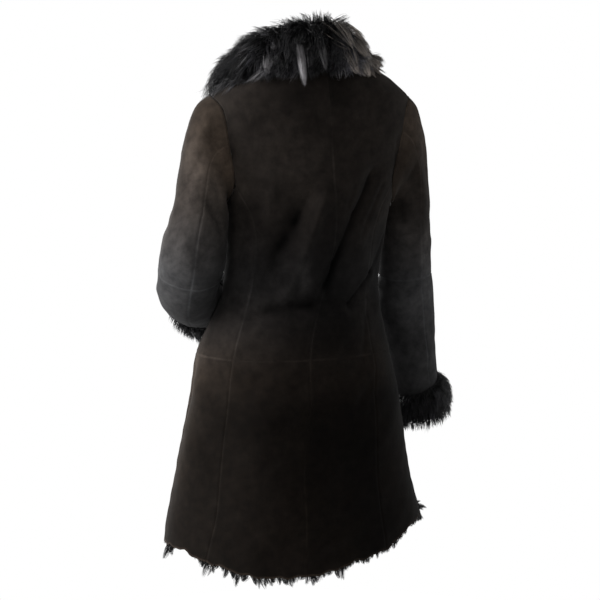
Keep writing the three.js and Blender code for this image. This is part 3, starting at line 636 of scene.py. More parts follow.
def wool_material():
    material, nodes, links, surface = new_material("wool")
    place = object_coordinates(nodes)
    locks = noise(nodes, links, place, 160, 5, 0.7)
    colour = ramp(nodes, links, locks, [(0.3, (0.003, 0.003, 0.003)), (0.7, (0.018, 0.017, 0.016))])
    links.new(colour, surface.inputs["Base Color"])
    surface.inputs["Roughness"].default_value = 0.95
    surface.inputs["Sheen Weight"].default_value = 0.25
    links.new(bump(nodes, links, locks, 1.0, 0.004), surface.inputs["Normal"])
    return material


def fur_material(name, colour, roughness=0.42):
    material, nodes, links, surface = new_material(name)
    # The tone attribute multiplies in painted shade at the roots and painted highlights on locks.
    tone = nodes.new("ShaderNodeCombineColor")
    for socket in tone.inputs[:3]:
        links.new(attribute(nodes, "tone"), socket)
    toned = blend_colours(nodes, links, 1.0, colour, tone.outputs["Color"], "MULTIPLY")
    links.new(toned, surface.inputs["Base Color"])
    surface.inputs["Roughness"].default_value = roughness
    surface.inputs["Specular IOR Level"].default_value = 0.3
    return material


SUEDE = suede_material()
WOOL = wool_material()
FUR_SKIN = fur_material("fur_skin", (0.001, 0.001, 0.0012), 0.9)
FUR_DARK = fur_material("fur_dark", (0.005, 0.005, 0.006))
FUR_BLUE = fur_material("fur_blue", (0.013, 0.0127, 0.0145))
FUR_GREY = fur_material("fur_grey", (0.036, 0.0345, 0.036), 0.38)
FUR_BROWN = fur_material("fur_brown", (0.08, 0.07, 0.062), 0.45)
PILE = fur_material("pile", (0.004, 0.0035, 0.0035), 0.6)


# Body panels

def spread(lengths, count):
    """Column places in each row: a few close to both edges and the rest even, as shares of the row."""
    close = np.array([0, 0.9, 2.2, 4.2, 7.5])
    shares = []
    for length in lengths:
        near = close * min(1, length / 32)
        middle = np.linspace(near[-1], length - near[-1], max(count - 8, 2))
        shares.append(np.concatenate([near[:-1], middle, length - near[-2::-1]]) / length)
    return np.array(shares)


def column_count(length):
    return max(int(round(length / CLOTH_SPACING)), 6) + 8


def panel_edges(side, panel, level):
    sign = 1 if side == "left" else -1
    above = level <= SHOULDER_TIP_LEVEL
    beside = (level > SHOULDER_TIP_LEVEL) & (level < ARMPIT_LEVEL)
    princess = curve(PRINCESS[side], "level", "angle", level)
    armhole_back = sign * curve(ARMHOLE, "level", "back", level)
    if panel == "back":
        end = np.where(level <= PRINCESS_TOP_LEVEL, armhole_back, princess)
        return curve(CENTRE_BACK, "level", "angle", level), np.where(above, sign * 90, end)
    if panel == "side":
        return princess, np.where(beside, armhole_back, sign * SIDE_SEAM_ANGLE)
    start = np.where(beside, sign * curve(ARMHOLE, "level", "front", level), sign * SIDE_SEAM_ANGLE)
    start = np.where(above, sign * 90, start)
    return start, sign * curve(FRONT_EDGE, "level", "angle", level)


def body_points(angle, level):
    normal = body_normal(angle, level)
    height = fold_height(angle, level) + crease_height(CREASES, angle, level, FOLD_SCALE)
    smooth = body_surface(angle, level)
    height = height + 0.8 * waves(smooth, 90, 11) + 0.35 * waves(smooth, 34, 12)
    return smooth + normal * height[..., None], normal


def row_lengths(start, end, level):
    share = np.linspace(0, 1, 9)
    points = body_surface(lerp(start[:, None], end[:, None], share), level[:, None])
    return np.linalg.norm(np.diff(points, axis=1), axis=-1).sum(1)


def close_rows(top, bottom, seams):
    close = np.array([0, 0.9, 2.2, 4.2, 7.5])
    middle_top, middle_bottom = top + close[-1], bottom - close[-1]
    count = int(round((middle_bottom - middle_top) / CLOTH_SPACING)) + 1
    middle = np.linspace(middle_top, middle_bottom, count)
    rows = np.concatenate([top + close[:-1], middle, bottom - close[-2::-1]])
    return rows if seams else rows


def hem_level(angle):
    ragged = 1.6 * np.sin(np.radians(angle) * 31 + 1) + 1.2 * np.sin(np.radians(angle) * 53 + 2.2)
    return curve(HEM, "angle", "level", angle) + ragged


# Tone of each panel's skin, above and below the hip: partly the skin's own tone and partly painted shade, darker
# below the hip and on the right side.
PANEL_TONES_AND_SHADE = {
    ("back", "left"): (0.9, 0.29), ("back", "right"): (0.84, 0.24), ("side", "left"): (1.05, 0.31),
    ("side", "right"): (0.85, 0.28), ("front", "left"): (0.85, 0.4), ("front", "right"): (0.85, 0.36),
}


# Places that lie paler or darker on one panel only, up to its seams.
PANEL_PALER_DARKER = {
    ("back", "right"): [(-5, 50, -6, 130, 24, -0.4)],
    ("back", "left"): [(6, 60, 2, 220, 30, 0.15)],
}


def body_tone_and_painted_light(panel, side, tone, angle, level):
    """The panel's tone with its painted highlights, painted shade and paler or darker patches, and how grey rather
    than brown it is there.
    """
    grey = 0.3 * np.clip((650 - level) / 90, 0, 1) + 0.5 * np.exp(-(((level - 470) / 90) ** 2))
    rows = BODY_PAINTED_LIGHT + PANEL_PALER_DARKER.get((panel, side), [])
    return tone * (1 + crease_height(rows, angle, level, FOLD_SCALE)), grey


def add_body_panels():
    for side in ("left", "right"):
        for panel in ("back", "side", "front"):
            upper_tone, lower_tone = PANEL_TONES_AND_SHADE[panel, side]
            top = SIDE_PANEL_TOP_LEVEL if panel == "side" else 0
            level = close_rows(top, HIP_LEVEL, True)
            start, end = panel_edges(side, panel, level)
            lengths = row_lengths(start, end, level)
            shares = spread(lengths, column_count(lengths.max()))
            angle = lerp(start[:, None], end[:, None], shares)
            outer, normal = body_points(angle, level[:, None] + 0 * angle)
            # Tone with painted highlights and painted shade.
            nap_and_painted_light = body_tone_and_painted_light(panel, side, upper_tone, angle, level[:, None])
            raw = ("right",) if panel == "front" else ()
            piece = add_panel(f"{panel}_upper_{side}_suede", outer, normal, BODY_WALL, nap_and_painted_light, raw)
            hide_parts(f"{panel}_upper_{side}")

            share = (close_rows(HIP_LEVEL, HEM_LEVEL, True) - HIP_LEVEL) / (HEM_LEVEL - HIP_LEVEL)
            level = lerp(HIP_LEVEL, HEM_LEVEL, share)
            start, end = panel_edges(side, panel, level)
            lengths = row_lengths(start, end, level)
            shares = spread(lengths, column_count(lengths.max()))
            angle = lerp(start[:, None], end[:, None], shares)
            placed = lerp(HIP_LEVEL, hem_level(angle), share[:, None])
            outer, normal = body_points(angle, placed)
            share_down = np.minimum(share[:, None] * 4, 1)
            # Tone falls to the darker skirt tone below the hip, with painted highlights and painted shade.
            nap_and_painted_light = body_tone_and_painted_light(panel, side, lerp(upper_tone, lower_tone, share_down), angle, placed)
            raw = ("right", "bottom") if panel == "front" else ("bottom",)
            piece = add_panel(f"{panel}_lower_{side}_suede", outer, normal, BODY_WALL, nap_and_painted_light, raw)
            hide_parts(f"{panel}_lower_{side}")


add_body_panels()


# Sleeves

def arm_centre(side, step):
    return np.stack([curve(ARMS[side], "step", axis, step) for axis in "xyz"], -1)


def arm_direction(side, step):
    at = np.clip(step, 0.02, WRIST_STEP - 0.02)
    return unit(arm_centre(side, at + 0.02) - arm_centre(side, at - 0.02))


def arm_point(side, step, angle, out=0.0, past_wrist=0.0):
    """A point round the sleeve: 0 degrees is outside, 90 in front, 180 next to the body, 270 behind."""
    sign = 1 if side == "left" else -1
    step, angle, out, past_wrist = np.broadcast_arrays(step, angle, out, past_wrist)
    direction = arm_direction(side, step)
    across = unit(np.array([sign, 0, 0]) - sign * direction * direction[..., :1])
    deep = np.cross(direction, across) * sign
    turn = np.radians(angle)
    wide = (curve(ARMS[side], "step", "across", step) + out) * np.cos(turn)
    long = (curve(ARMS[side], "step", "deep", step) + out) * np.sin(turn)
    return (arm_centre(side, step) + across * wide[..., None] + deep * long[..., None]
            + direction * past_wrist[..., None])


def armhole_point(side, angle):
    sign = 1 if side == "left" else -1
    level = SHOULDER_TIP_LEVEL + (ARMPIT_LEVEL - SHOULDER_TIP_LEVEL) * (1 - np.cos(np.linspace(0, math.pi, 90))) / 2
    down_angle = sign * curve(ARMHOLE, "level", "front", level)
    up_angle = sign * curve(ARMHOLE, "level", "back", level)[::-1]
    down = body_surface(down_angle, level) + body_normal(down_angle, level) * fold_height(down_angle, level)[:, None]
    back = level[::-1]
    up = body_surface(up_angle, back) + body_normal(up_angle, back) * fold_height(up_angle, back)[:, None]
    places = []
    for line, first in ((down, 0), (up, 180)):
        reach = np.concatenate([[0], np.cumsum(np.linalg.norm(np.diff(line, axis=0), axis=1))])
        places.append(first + 180 * reach / reach[-1])
    places = np.concatenate(places)
    line = np.concatenate([down, up])
    turned = np.mod(angle, 360)
    middle = line.mean(0)
    point = np.stack([np.interp(turned, places, line[:, axis]) for axis in range(3)], -1)
    return point + unit(middle - point) * 0.3


def cap_point(side, angle, share):
    start = armhole_point(side, angle)
    end = arm_point(side, SLEEVE_TUBE_START, angle)
    top = ((1 + np.cos(np.radians(angle))) / 2)[..., None]
    reach = np.linalg.norm(start - end, axis=-1, keepdims=True)
    outward = unit(np.array([1.0 if side == "left" else -1.0, 0, -CAP["slope"][side]]))
    leave = outward * lerp(CAP["leave_share"] * reach + CAP["leave_least"], CAP["leave_top"][side], top)
    arrive = arm_direction(side, np.array(SLEEVE_TUBE_START)) * lerp(CAP["arrive_share"] * reach, CAP["arrive_top"], top)
    return hermite(start, leave, end, arrive, share[..., None])


CAP_LENGTH = 130
STEP_LENGTH = 92


def add_sleeve(side):
    sign = 1 if side == "left" else -1
    seams = SLEEVE_SEAM_ANGLES[side]
    elbow = ELBOW_SEAM_STEP[side]
    radius = 52
    top_columns = seams["back"] - 360 + spread(
        [(seams["front"] + 360 - seams["back"]) * math.pi / 180 * radius], 44)[0] * (seams["front"] + 360 - seams["back"])
    under_columns = seams["front"] + spread(
        [(seams["back"] - seams["front"]) * math.pi / 180 * radius], 32)[0] * (seams["back"] - seams["front"])
    angle = np.concatenate([top_columns, under_columns[1:]])
    cap_rows = close_rows(-CAP_LENGTH, 40, True)
    cap_rows = cap_rows[cap_rows < -2]
    elbow_at = (elbow - SLEEVE_TUBE_START) * STEP_LENGTH
    upper_rows = close_rows(-40, elbow_at, True)
    upper_rows = upper_rows[upper_rows >= 0]
    lower_rows = close_rows(elbow_at, (WRIST_STEP - SLEEVE_TUBE_START) * STEP_LENGTH, True)
    along = np.concatenate([cap_rows, upper_rows, lower_rows[1:]])
    elbow_row = len(cap_rows) + len(upper_rows) - 1
    grid_angle, grid_along = np.meshgrid(angle, along)
    cap = cap_point(side, grid_angle, np.clip(1 + grid_along / CAP_LENGTH, 0, 1))
    tube = arm_point(side, SLEEVE_TUBE_START + np.maximum(grid_along, 0) / STEP_LENGTH, grid_angle)
    smooth = np.where(grid_along[..., None] < 0, cap, tube)
    inside_cap = (grid_along > -CAP_LENGTH + 1) & (grid_along < (WRIST_STEP - 1.2) * STEP_LENGTH)
    smooth = np.where(inside_cap[..., None], clear_of_body(smooth, SLEEVE_BODY_CLEARANCE), smooth)
    closed = np.concatenate([smooth[:, -2:-1], smooth, smooth[:, 1:2]], 1)
    around = closed[:, 2:] - closed[:, :-2]
    down = np.gradient(smooth, axis=0)
    normal = unit(np.cross(around, down)) * sign
    scale = radius * math.pi / 180
    height = crease_height(SLEEVE_CREASES[side], np.mod(grid_angle, 360), grid_along, scale)
    fade = np.clip((grid_along + CAP_LENGTH) / 25, 0, 1)
    height = height * fade + (0.8 * waves(smooth, 80, 21) + 0.35 * waves(smooth, 30, 22)) * fade
    outer = smooth + normal * height[..., None]
    split = len(top_columns) - 1
    # The sleeve's tone rises towards the wrist, with the painted highlights and painted shade of its rows multiplied
    # in; grey rises with it.
    rise = np.clip((grid_along + 100) / 220, 0, 1)
    turned = np.where(grid_angle < 0, grid_angle + 360, grid_angle)
    sleeve_painted_light = crease_height(SLEEVE_PAINTED_LIGHT[side], grid_angle, grid_along, scale)
    sleeve_painted_light = sleeve_painted_light + crease_height(SLEEVE_PAINTED_LIGHT[side], turned, grid_along, scale) * (turned != grid_angle)
    tone = lerp(1.25, 1.75, rise) * (1 + sleeve_painted_light)
    grey = rise
    for name, rows in (("upper", slice(0, elbow_row + 1)), ("lower", slice(elbow_row, None))):
        for part, columns in (("top", slice(0, split + 1)), ("under", slice(split, None))):
            node = f"sleeve_{name}_{part}_{side}"
            nap_and_painted_light = (tone[rows, columns] * (0.9 if name == "lower" else 1), grey[rows, columns])
            piece = add_panel(f"{node}_suede", outer[rows, columns], normal[rows, columns], SLEEVE_WALL, nap_and_painted_light)
            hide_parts(node)


for side in ("left", "right"):
    add_sleeve(side)


# Fur

STRAND_FACES = np.array(
    [(0, 2, 1)]
    + [(a, b, b + 3) for a, b in ((0, 1), (1, 2), (2, 0))]
    + [(a, b + 3, a + 3) for a, b in ((0, 1), (1, 2), (2, 0))]
    + [(a, b, b + 3) for a, b in ((3, 4), (4, 5), (5, 3))]
    + [(a, b + 3, a + 3) for a, b in ((3, 4), (4, 5), (5, 3))]
    + [(6, 7, 9), (7, 8, 9), (8, 6, 9)]
)
STRAND_STATIONS = np.array([0.0, 0.38, 0.74])
STRAND_WIDTHS = np.array([1.0, 0.85, 0.5])
# Tone at the four stations from root to tip: roots painted dark as shade inside the fur, tips paler.
STRAND_ROOT_SHADE = np.array([0.2] * 3 + [0.6] * 3 + [1.15] * 3 + [1.6])


def strand_mesh(name, lines, widths, side_way, material, tone=1.0):
    """Closed three-sided strands. lines: strands x 4 points, from root to tip."""
    along = unit(lines[:, 3] - lines[:, 0])
    first = unit(np.cross(along, side_way))
    second = np.cross(along, first)
    points = np.empty((len(lines), 10, 3))
    for ring_index in range(3):
        for corner in range(3):
            turn = 2 * math.pi * corner / 3
            offset = first * math.cos(turn) + second * math.sin(turn)
            radius = widths[:, None] * STRAND_WIDTHS[ring_index] / 2
            points[:, ring_index * 3 + corner] = lines[:, ring_index] + offset * radius
    points[:, 9] = lines[:, 3]
    faces = (np.arange(len(lines))[:, None, None] * 10 + STRAND_FACES[None]).reshape(-1, 3)
    obj = new_object(name, points.reshape(-1, 3), faces, [material])
    shade = np.broadcast_to(tone, len(lines))[:, None] * STRAND_ROOT_SHADE
    add_attribute(obj, "tone", shade)
    return obj


def scatter(grid, count, dice, weight=None):
    """Places spread evenly over a grid's surface: rows, columns, and their shares within the cell."""
    edge_u = grid[:-1, 1:] - grid[:-1, :-1]
    edge_v = grid[1:, :-1] - grid[:-1, :-1]
    area = np.linalg.norm(np.cross(edge_u, edge_v), axis=-1)
    if weight is not None:
        area = area * weight
    total = np.cumsum(area.ravel())
    cell = np.searchsorted(total, dice.uniform(0, total[-1], count))
    row, column = np.divmod(cell, grid.shape[1] - 1)
    return row, column, dice.uniform(size=count), dice.uniform(size=count)


def read_grid(grid, places):
    row, column, u, v = places
    u, v = u[:, None], v[:, None]
    top = grid[row, column] * (1 - u) + grid[row, column + 1] * u
    low = grid[row + 1, column] * (1 - u) + grid[row + 1, column + 1] * u
    return top * (1 - v) + low * v


def grow(roots, leave, fall, length, locks, clump, wave, dice, clearance=None):
    """Centre lines of strands that leave the skin, bend to their fall and gather into locks."""
    shares = np.array([0, 0.38, 0.74, 1.0])
    early = (shares - shares ** 2 / 2)[None, :, None]
    late = (shares ** 2 / 2)[None, :, None]
    lines = roots[:, None] + length[:, None, None] * 1.15 * (leave[:, None] * early + fall[:, None] * late)
    centres = dice.choice(len(roots), locks, replace=False)
    tree = KDTree(locks)
    for index, centre in enumerate(centres):
        tree.insert(roots[centre], index)
    tree.balance()
    nearest = np.array([tree.find(root)[1] for root in roots])
    lead = lines[centres[nearest]]
    pull = clump[:, None] * shares[None] ** 1.4
    gathered = lines + (lead - lines) * pull[..., None]
    swing = dice.normal(size=(locks, 3)) * wave
    curl = np.sin(shares * 3.4)[None, :, None] * swing[nearest][:, None]
    gathered = gathered + curl * shares[None, :, None]
    if clearance is not None:
        gathered = clear_of_body(gathered, clearance)
        gathered[:, 0] = roots
    tone = dice.lognormal(0, 0.5, locks)[nearest] * dice.lognormal(0, 0.3, len(roots))
    return gathered, tone


# How far the fur's skin lies inside the collar's form: at the roll, at the edge of the fall and on its faces.
COLLAR_SKIN = {"below_roll": 6, "above_fall": 34, "inside": 13}


def collar_grid():
    stations = 90
    points = 40
    lines = {key: [] for key in COLLAR["left"] if key != "step"}
    for side, steps in (("right", np.linspace(8, 0, stations + 1)[:-1]), ("left", np.linspace(0, 8, stations + 1))):
        for key in lines:
            lines[key].append(curve(COLLAR[side], "step", key, steps))
    joined = {key: np.concatenate(value) for key, value in lines.items()}
    roll = np.stack([joined[f"roll_{axis}"] for axis in "xyz"], -1)
    fall = np.stack([joined[f"fall_{axis}"] for axis in "xyz"], -1)
    thick = joined["thick"]
    middle = (roll + fall) / 2
    travel = unit(np.gradient(middle, axis=0))
    size = np.linalg.norm(fall - roll, axis=-1, keepdims=True)
    long = unit(fall - roll)
    roll = roll + long * np.minimum(COLLAR_SKIN["below_roll"], size * 0.15)
    fall = fall - long * np.minimum(COLLAR_SKIN["above_fall"], size * 0.4)
    middle = (roll + fall) / 2
    long = (fall - roll) / 2
    across = unit(np.cross(unit(long), travel))
    thick = np.maximum(thick - COLLAR_SKIN["inside"], thick * 0.35)
    turn = np.linspace(0, 2 * math.pi, points + 1)
    squared = lambda value: np.sign(value) * np.abs(value) ** 0.8
    grid = (middle[:, None] + long[:, None] * squared(np.cos(turn))[None, :, None]
            + across[:, None] * (thick[:, None] * squared(np.sin(turn))[None])[..., None])
    return clear_of_body(grid, 3.0), middle


def grid_normals(grid, centres):
    around = np.gradient(grid, axis=1)
    around[:, 0] = around[:, -1] = grid[:, 1] - grid[:, -2]
    along = np.gradient(grid, axis=0)
    normal = unit(np.cross(around, along))
    flip = np.sign(np.sum(normal * (grid - centres[:, None]), axis=-1).mean())
    return normal * flip


def closed_skin(name, grid, closed_ends, material):
    rows, columns = grid.shape[0], grid.shape[1] - 1
    points = grid[:, :-1].reshape(-1, 3)
    i, j = np.meshgrid(np.arange(rows - 1), np.arange(columns), indexing="ij")
    a, b = i * columns + j, i * columns + (j + 1) % columns
    faces = np.stack([a, b, b + columns, a + columns], -1).reshape(-1, 4)
    if closed_ends:
        last = (rows - 1) * columns
        for start, step in ((0, 1), (last, -1)):
            half = columns // 2
            for k in range(half - 1):
                quad = (start + k, start + k + 1, start + columns - 2 - k, start + columns - 1 - k)
                faces = np.concatenate([faces, [quad[::-step]]])
    corners = points[faces]
    volume = np.einsum("ij,ij->", corners[:, 0], np.cross(corners[:, 1], corners[:, 2]))
    if volume < 0:
        faces = faces[:, ::-1]
    obj = new_object(name, points, faces, [material])
    add_attribute(obj, "tone", np.ones(len(points)))
    return obj


DOWN = np.array([0.0, 0.0, -1.0])


def tangent(way, normal):
    return way - normal * np.sum(way * normal, axis=-1, keepdims=True)


# Layers of strands: how many, their length and root width, how far they gather, and how wild they are.
COLLAR_FUR = {
    "piece": ["collar_fur_under", "collar_fur_middle", "collar_fur_over", "collar_fur_light"],
    "material": [FUR_DARK, FUR_DARK, FUR_BLUE, FUR_GREY],
    "count": [7600, 8200, 8400, 3800],
    "reach": [38, 42, 44, 42],
    "width": [1.5, 1.2, 1.1, 0.9],
    "clump": [0.5, 0.68, 0.8, 0.85],
    "wild": [0.03, 0.05, 0.08, 0.06],
}
# Painted highlights on locks that catch the light, and darker places: place across and up, radius, and share of the
# fur's tone.
COLLAR_LOCKS = [
    (44, 14, 10, 4.5), (52, -4, 8, 2.5), (86, -10, 7, 2.6), (18, -12, 17, -0.8), (64, 4, 8, 1.0),
    (-20, 20, 12, 1.2), (-48, 12, 16, 1.4), (110, 10, 16, 0.8), (150, -20, 22, 0.4), (30, 48, 40, -0.6),
]


def add_collar():
    grid, middle = collar_grid()
    normals = grid_normals(grid, middle)
    skin = closed_skin("collar_skin", grid, True, FUR_SKIN)
    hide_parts("collar")
    for name, material, count, reach, width, clump, wild in zip(*COLLAR_FUR.values()):
        places = scatter(grid, count, RANDOM)
        roots = read_grid(grid, places)
        normal = unit(read_grid(normals, places))
        away = unit(roots * [1, 1, 0])
        sideways = 0.7 - 0.4 * np.clip((roots[:, :1] - 20) / 60, 0, 1)
        comb = unit(tangent(DOWN + away * sideways, normal))
        drift = np.stack([waves(roots, 46, seed) for seed in (31, 32, 33)], -1) * 0.26
        jitter = RANDOM.normal(size=roots.shape) * 0.08
        top = np.clip(normal[:, 2:] * 1.4, 0, 1) * np.clip(1.9 - np.abs(roots[:, :1] - 15) / 90, 0, 1)
        flat = np.clip((-roots[:, :1] - 25) / 40, 0, 1)
        low = np.clip((roots[:, :1] - 130) / 40, 0, 1)
        stand = (0.4 + 0.55 * top) * (1 - 0.6 * flat)
        loose = (RANDOM.uniform(size=(count, 1)) < wild) * RANDOM.uniform(0.1, 0.3, (count, 1)) * (1 - flat)
        leave = unit(normal * (stand + loose) + comb * 0.8 + drift + jitter)
        upright = (0.04 + 0.44 * top) * (1 - flat) + loose
        fall = unit(normal * upright + comb + DOWN * 0.25 * (1 - top) + drift * (1 - 0.5 * flat) + jitter)
        length = reach * RANDOM.uniform(0.65, 1.12, count) * (1 - 0.38 * top - 0.36 * flat + 0.6 * low)[:, 0]
        gather = clump * RANDOM.uniform(0.6, 1.0, count)
        lines, tone = grow(roots, leave, fall, length, count // 30, gather, 1.6, RANDOM, 0.8)
        # Painted highlights on locks and darker places, on the back of the collar.
        for across, up, radius, share in COLLAR_LOCKS:
            away = np.hypot(roots[:, 0] - across, roots[:, 2] - up)
            tone = tone * (1 + share * np.exp(-((away / radius) ** 2)) * (roots[:, 1] > 40))
        # Painted shade on the collar's upper side and a painted highlight on its right end.
        sunny = np.clip((-roots[:, 0] - 5) / 45, 0, 1) * (roots[:, 1] > 0)
        tone = tone * (1 - 0.45 * np.clip(normal[:, 2], 0, 1)) * (1 + 4 * sunny)
        strand_mesh(name, lines, width * RANDOM.uniform(0.7, 1.2, count), normal, material, tone)
    add_outer_locks(grid, normals)


# Hair that lies over the rest: where it grows (across, fore and aft, up), how far round that place in the
# same three ways, the strands, the locks they gather into, their length, fall to the side, and tone, raised as
# painted highlights.
OUTER_LOCKS = {
    "piece": ["collar_fur_brown", "collar_lock_middle", "collar_lock_left", "collar_lock_low", "collar_lock_right"],
    "material": [FUR_BROWN, FUR_GREY, FUR_GREY, FUR_GREY, FUR_GREY],
    "place": [(-74, 28, 14), (50, 100, 14), (98, 80, 0), (74, 90, -4), (14, 100, 16)],
    "reach": [(48, 48, 62), (4, 60, 6), (6, 60, 6), (5, 60, 6), (7, 60, 8)],
    "count": [4600, 220, 150, 100, 140],
    "locks": [190, 2, 3, 2, 3],
    "length": [32, 52, 34, 26, 36],
    "sideways": [-0.45, -0.15, 0.05, 0, -0.3],
    "tone": [1.7, 4.6, 3.4, 1.8, 1.2],
}


def add_outer_locks(grid, normals):
    """Pointed locks painted pale as highlights where they catch the light, and browned hair on the end over the right
    shoulder, brightened as a painted highlight.
    """
    for name, material, place, reach, count, locks, long, sideways, shade in zip(*OUTER_LOCKS.values()):
        away = (grid[:-1, :-1] - place) / reach
        places = scatter(grid, count, RANDOM, np.exp(-np.sum(away ** 2, axis=-1)))
        roots = read_grid(grid, places)
        normal = unit(read_grid(normals, places))
        roots = roots + normal * 11
        comb = unit(tangent(DOWN + np.array([sideways, 0, 0]), normal))
        jitter = RANDOM.normal(size=roots.shape) * 0.06
        leave, fall = unit(normal * 0.3 + comb + jitter), unit(normal * 0.05 + comb + jitter)
        length = long * RANDOM.uniform(0.7, 1.1, count)
        gather = 0.85 * RANDOM.uniform(0.8, 1, count)
        lines, tone = grow(roots, leave, fall, length, locks, gather, 1.0, RANDOM, 0.8)
        strand_mesh(name, lines, RANDOM.uniform(0.6, 1.1, count), normal, material, tone * shade)


add_collar()

CUFF_SKIN = {
    "up_sleeve": [1, 0.5, 0, 0, 0, 0, 0.3, 0.7, 1],
    "past_wrist": [0, 0, 0.8, 4, 8, 5, 0, 0, 0],
    "out": [0.9, 0.9, 0.9, 0.5, 4, 9, 12, 10, 4],
}


def cuff_grid(side):
    cuff = CUFFS[side]
    angle = np.linspace(0, 360, 73)
    wrist_length = np.linalg.norm(arm_centre(side, 5.0) - arm_centre(side, 4.0))
    height = lerp(cuff["low"], cuff["high"], (1 + np.cos(np.radians(angle))) / 2)
    columns = []
    for up, past, out in zip(CUFF_SKIN["up_sleeve"], CUFF_SKIN["past_wrist"], CUFF_SKIN["out"]):
        step = WRIST_STEP - up * height / wrist_length
        columns.append(arm_point(side, step, angle, out, past))
    columns.append(columns[0])
    return np.stack(columns, 1)


def add_cuff(side):
    grid = cuff_grid(side)
    centres = grid.mean(1)
    normals = grid_normals(grid, centres)
    columns = grid.shape[1] - 1
    points = grid[:-1, :-1].reshape(-1, 3)
    rows = grid.shape[0] - 1
    i, j = np.meshgrid(np.arange(rows), np.arange(columns), indexing="ij")
    a, b = i * columns + j, i * columns + (j + 1) % columns
    c, d = ((i + 1) % rows) * columns + (j + 1) % columns, ((i + 1) % rows) * columns + j
    faces = np.stack([a, b, c, d], -1).reshape(-1, 4)
    corners = points[faces]
    volume = np.einsum("ij,ij->", corners[:, 0], np.cross(corners[:, 1], corners[:, 2]))
    if volume < 0:
        faces = faces[:, ::-1]
    skin = new_object(f"cuff_{side}_skin", points, faces, [FUR_SKIN])
    add_attribute(skin, "tone", np.ones(len(points)))
    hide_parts(f"cuff_{side}")
    count = 4200
    weight = np.ones((grid.shape[0] - 1, grid.shape[1] - 1))
    weight[:, :2] = 0
    places = scatter(grid, count, RANDOM, weight)
    roots = read_grid(grid, places)
    normal = unit(read_grid(normals, places))
    direction = arm_direction(side, np.array(5.0))
    comb = tangent(direction * 0.6 + DOWN * 0.5 + 0 * normal, normal)
    leave = unit(normal * 0.7 + comb * 0.6 + RANDOM.normal(size=roots.shape) * 0.15)
    fall = unit(normal * 0.3 + comb * 0.8 + DOWN * 0.45 + RANDOM.normal(size=roots.shape) * 0.15)
    length = 27 * RANDOM.uniform(0.6, 1.1, count)
    gather = 0.6 * RANDOM.uniform(0.5, 1, count)
    lines, tone = grow(roots, leave, fall, length, count // 16, gather, 0.8, RANDOM)
    widths = 1.2 * RANDOM.uniform(0.7, 1.2, count)
    strand_mesh(f"cuff_{side}_fur", lines, widths, normal, FUR_BLUE, tone * 0.6)


for side in ("left", "right"):
    add_cuff(side)


def add_hem_pile():
    count = 5200
    angle = RANDOM.uniform(-161, 161, count)
    level = hem_level(angle)
    outer, normal = body_points(angle, level)
    above, _ = body_points(angle, level - 12)
    down = unit(outer - above)
    depth = RANDOM.uniform(0.6, BODY_WALL + 4, count)
    roots = outer - normal * depth[:, None] - down * RANDOM.uniform(2, 8, count)[:, None]
    drop = 4 - 9 * np.exp(-(((angle - 66) / 7) ** 2))
    tufted = np.zeros(count)
    for tuft_angle, width, tall in PILE_TUFTS:
        tufted += tall * np.exp(-(((angle - tuft_angle) / width) ** 2))
    drop += tufted
    corner = np.exp(-(((angle + 98) / 11) ** 2))
    drop = np.maximum(drop * RANDOM.uniform(0.45, 1.3, count) + 6 + 12 * corner, 2)
    aside = normal * 2.2 * corner[:, None]
    leave = unit(down + aside + RANDOM.normal(size=roots.shape) * 0.3)
    fall = unit(down + aside + DOWN * 0.3 + RANDOM.normal(size=roots.shape) * 0.35)
    gather = np.clip(0.45 + tufted / 16, 0, 0.95) * RANDOM.uniform(0.8, 1, count)
    lines, tone = grow(roots, leave, fall, drop, count // 20, gather, 0.8, RANDOM)
    return strand_mesh("hem_pile", lines, 1.1 * RANDOM.uniform(0.7, 1.2, count), normal, PILE, tone)


HEM_PILE = add_hem_pile()
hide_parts("pile_hem")


# Floor, light and camera

def add_floor():
    turns = np.linspace(0, 2 * math.pi, 97)[:-1]
    points = [(1300 * math.cos(turn), 1300 * math.sin(turn), -1500) for turn in turns]
    rings = [points, [(x, y, z - 20) for x, y, z in points]]
    count = len(turns)
    mesh = bpy.data.meshes.new("floor")
    vertices = [tuple(value * MM for value in point) for one in rings for point in one]
    faces = [tuple(range(count)), tuple(range(2 * count - 1, count - 1, -1))]
    faces += [(i, i + count, (i + 1) % count + count, (i + 1) % count) for i in range(count)]
    mesh.from_pydata(vertices, [], faces)
    material, nodes, links, surface = new_material("floor_white")
    place = object_coordinates(nodes)
    colour = ramp(nodes, links, noise(nodes, links, place, 3, 3), [(0.3, (0.86, 0.86, 0.86)), (0.7, (0.9, 0.9, 0.9))])
    links.new(colour, surface.inputs["Base Color"])
    surface.inputs["Roughness"].default_value = 0.7
    mesh.materials.append(material)
    floor = bpy.data.objects.new("floor", mesh)
    bpy.context.scene.collection.objects.link(floor)


add_floor()

CAMERA_AZIMUTH = 165
CAMERA_ELEVATION = 8.7
CAMERA_DISTANCE = 2.8
CAMERA_TARGET = Vector((0, 0, -0.456))


def view_direction(azimuth, elevation):
    turn, rise = math.radians(azimuth), math.radians(elevation)
    return Vector((math.sin(turn) * math.cos(rise), -math.cos(turn) * math.cos(rise), math.sin(rise)))


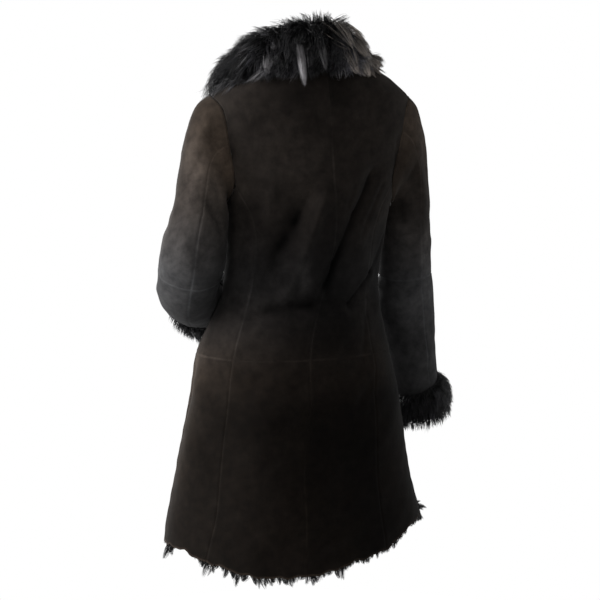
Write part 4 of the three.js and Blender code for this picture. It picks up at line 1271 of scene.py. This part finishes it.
def look_at(obj, position, target):
    obj.location = position
    obj.rotation_euler = (Vector(target) - Vector(position)).to_track_quat("-Z", "Y").to_euler()


def add_camera():
    data = bpy.data.cameras.new("camera")
    data.lens = 88.4
    data.sensor_width = 36
    data.shift_x = -0.025
    camera = bpy.data.objects.new("camera", data)
    bpy.context.scene.collection.objects.link(camera)
    look_at(camera, CAMERA_TARGET + view_direction(CAMERA_AZIMUTH, CAMERA_ELEVATION) * CAMERA_DISTANCE, CAMERA_TARGET)
    bpy.context.scene.camera = camera


def add_light(name, position, target, size, power, colour=(1, 1, 1)):
    data = bpy.data.lights.new(name, "AREA")
    data.shape = "RECTANGLE"
    data.size, data.size_y = size
    data.energy = power
    data.color = colour
    light = bpy.data.objects.new(name, data)
    bpy.context.scene.collection.objects.link(light)
    look_at(light, position, target)


add_camera()
add_light("key", (3.2, -0.4, 0.5), (0, 0, -0.45), (1.4, 2.4), 200)
add_light("high_left", (2.6, -0.2, 1.9), (0, 0, -0.2), (1.2, 1.2), 40)
add_light("behind_left", (2.3, 2.2, 1.0), (0, 0, -0.45), (1.6, 2.0), 25)
add_light("behind_high", (0.9, 2.6, 2.2), (0, 0, -0.2), (1.6, 1.6), 20)
add_light("right_rim", (-3.0, -0.6, 0.3), (0, 0, -0.5), (1.2, 2.2), 25)
add_light("front_fill", (0.6, -3.4, 0.5), (0, 0, -0.45), (2.0, 2.0), 140)

world = bpy.data.worlds.new("studio")
world.use_nodes = True
backdrop = world.node_tree.nodes["Background"]
backdrop.inputs["Color"].default_value = (1, 1, 1, 1)
seen = world.node_tree.nodes.new("ShaderNodeLightPath")
strength = world.node_tree.nodes.new("ShaderNodeMapRange")
strength.inputs["To Min"].default_value = 0.3
strength.inputs["To Max"].default_value = 1.0
world.node_tree.links.new(seen.outputs["Is Camera Ray"], strength.inputs["Value"])
world.node_tree.links.new(strength.outputs["Result"], backdrop.inputs["Strength"])
bpy.context.scene.world = world
bpy.context.scene.view_settings.view_transform = "Standard"
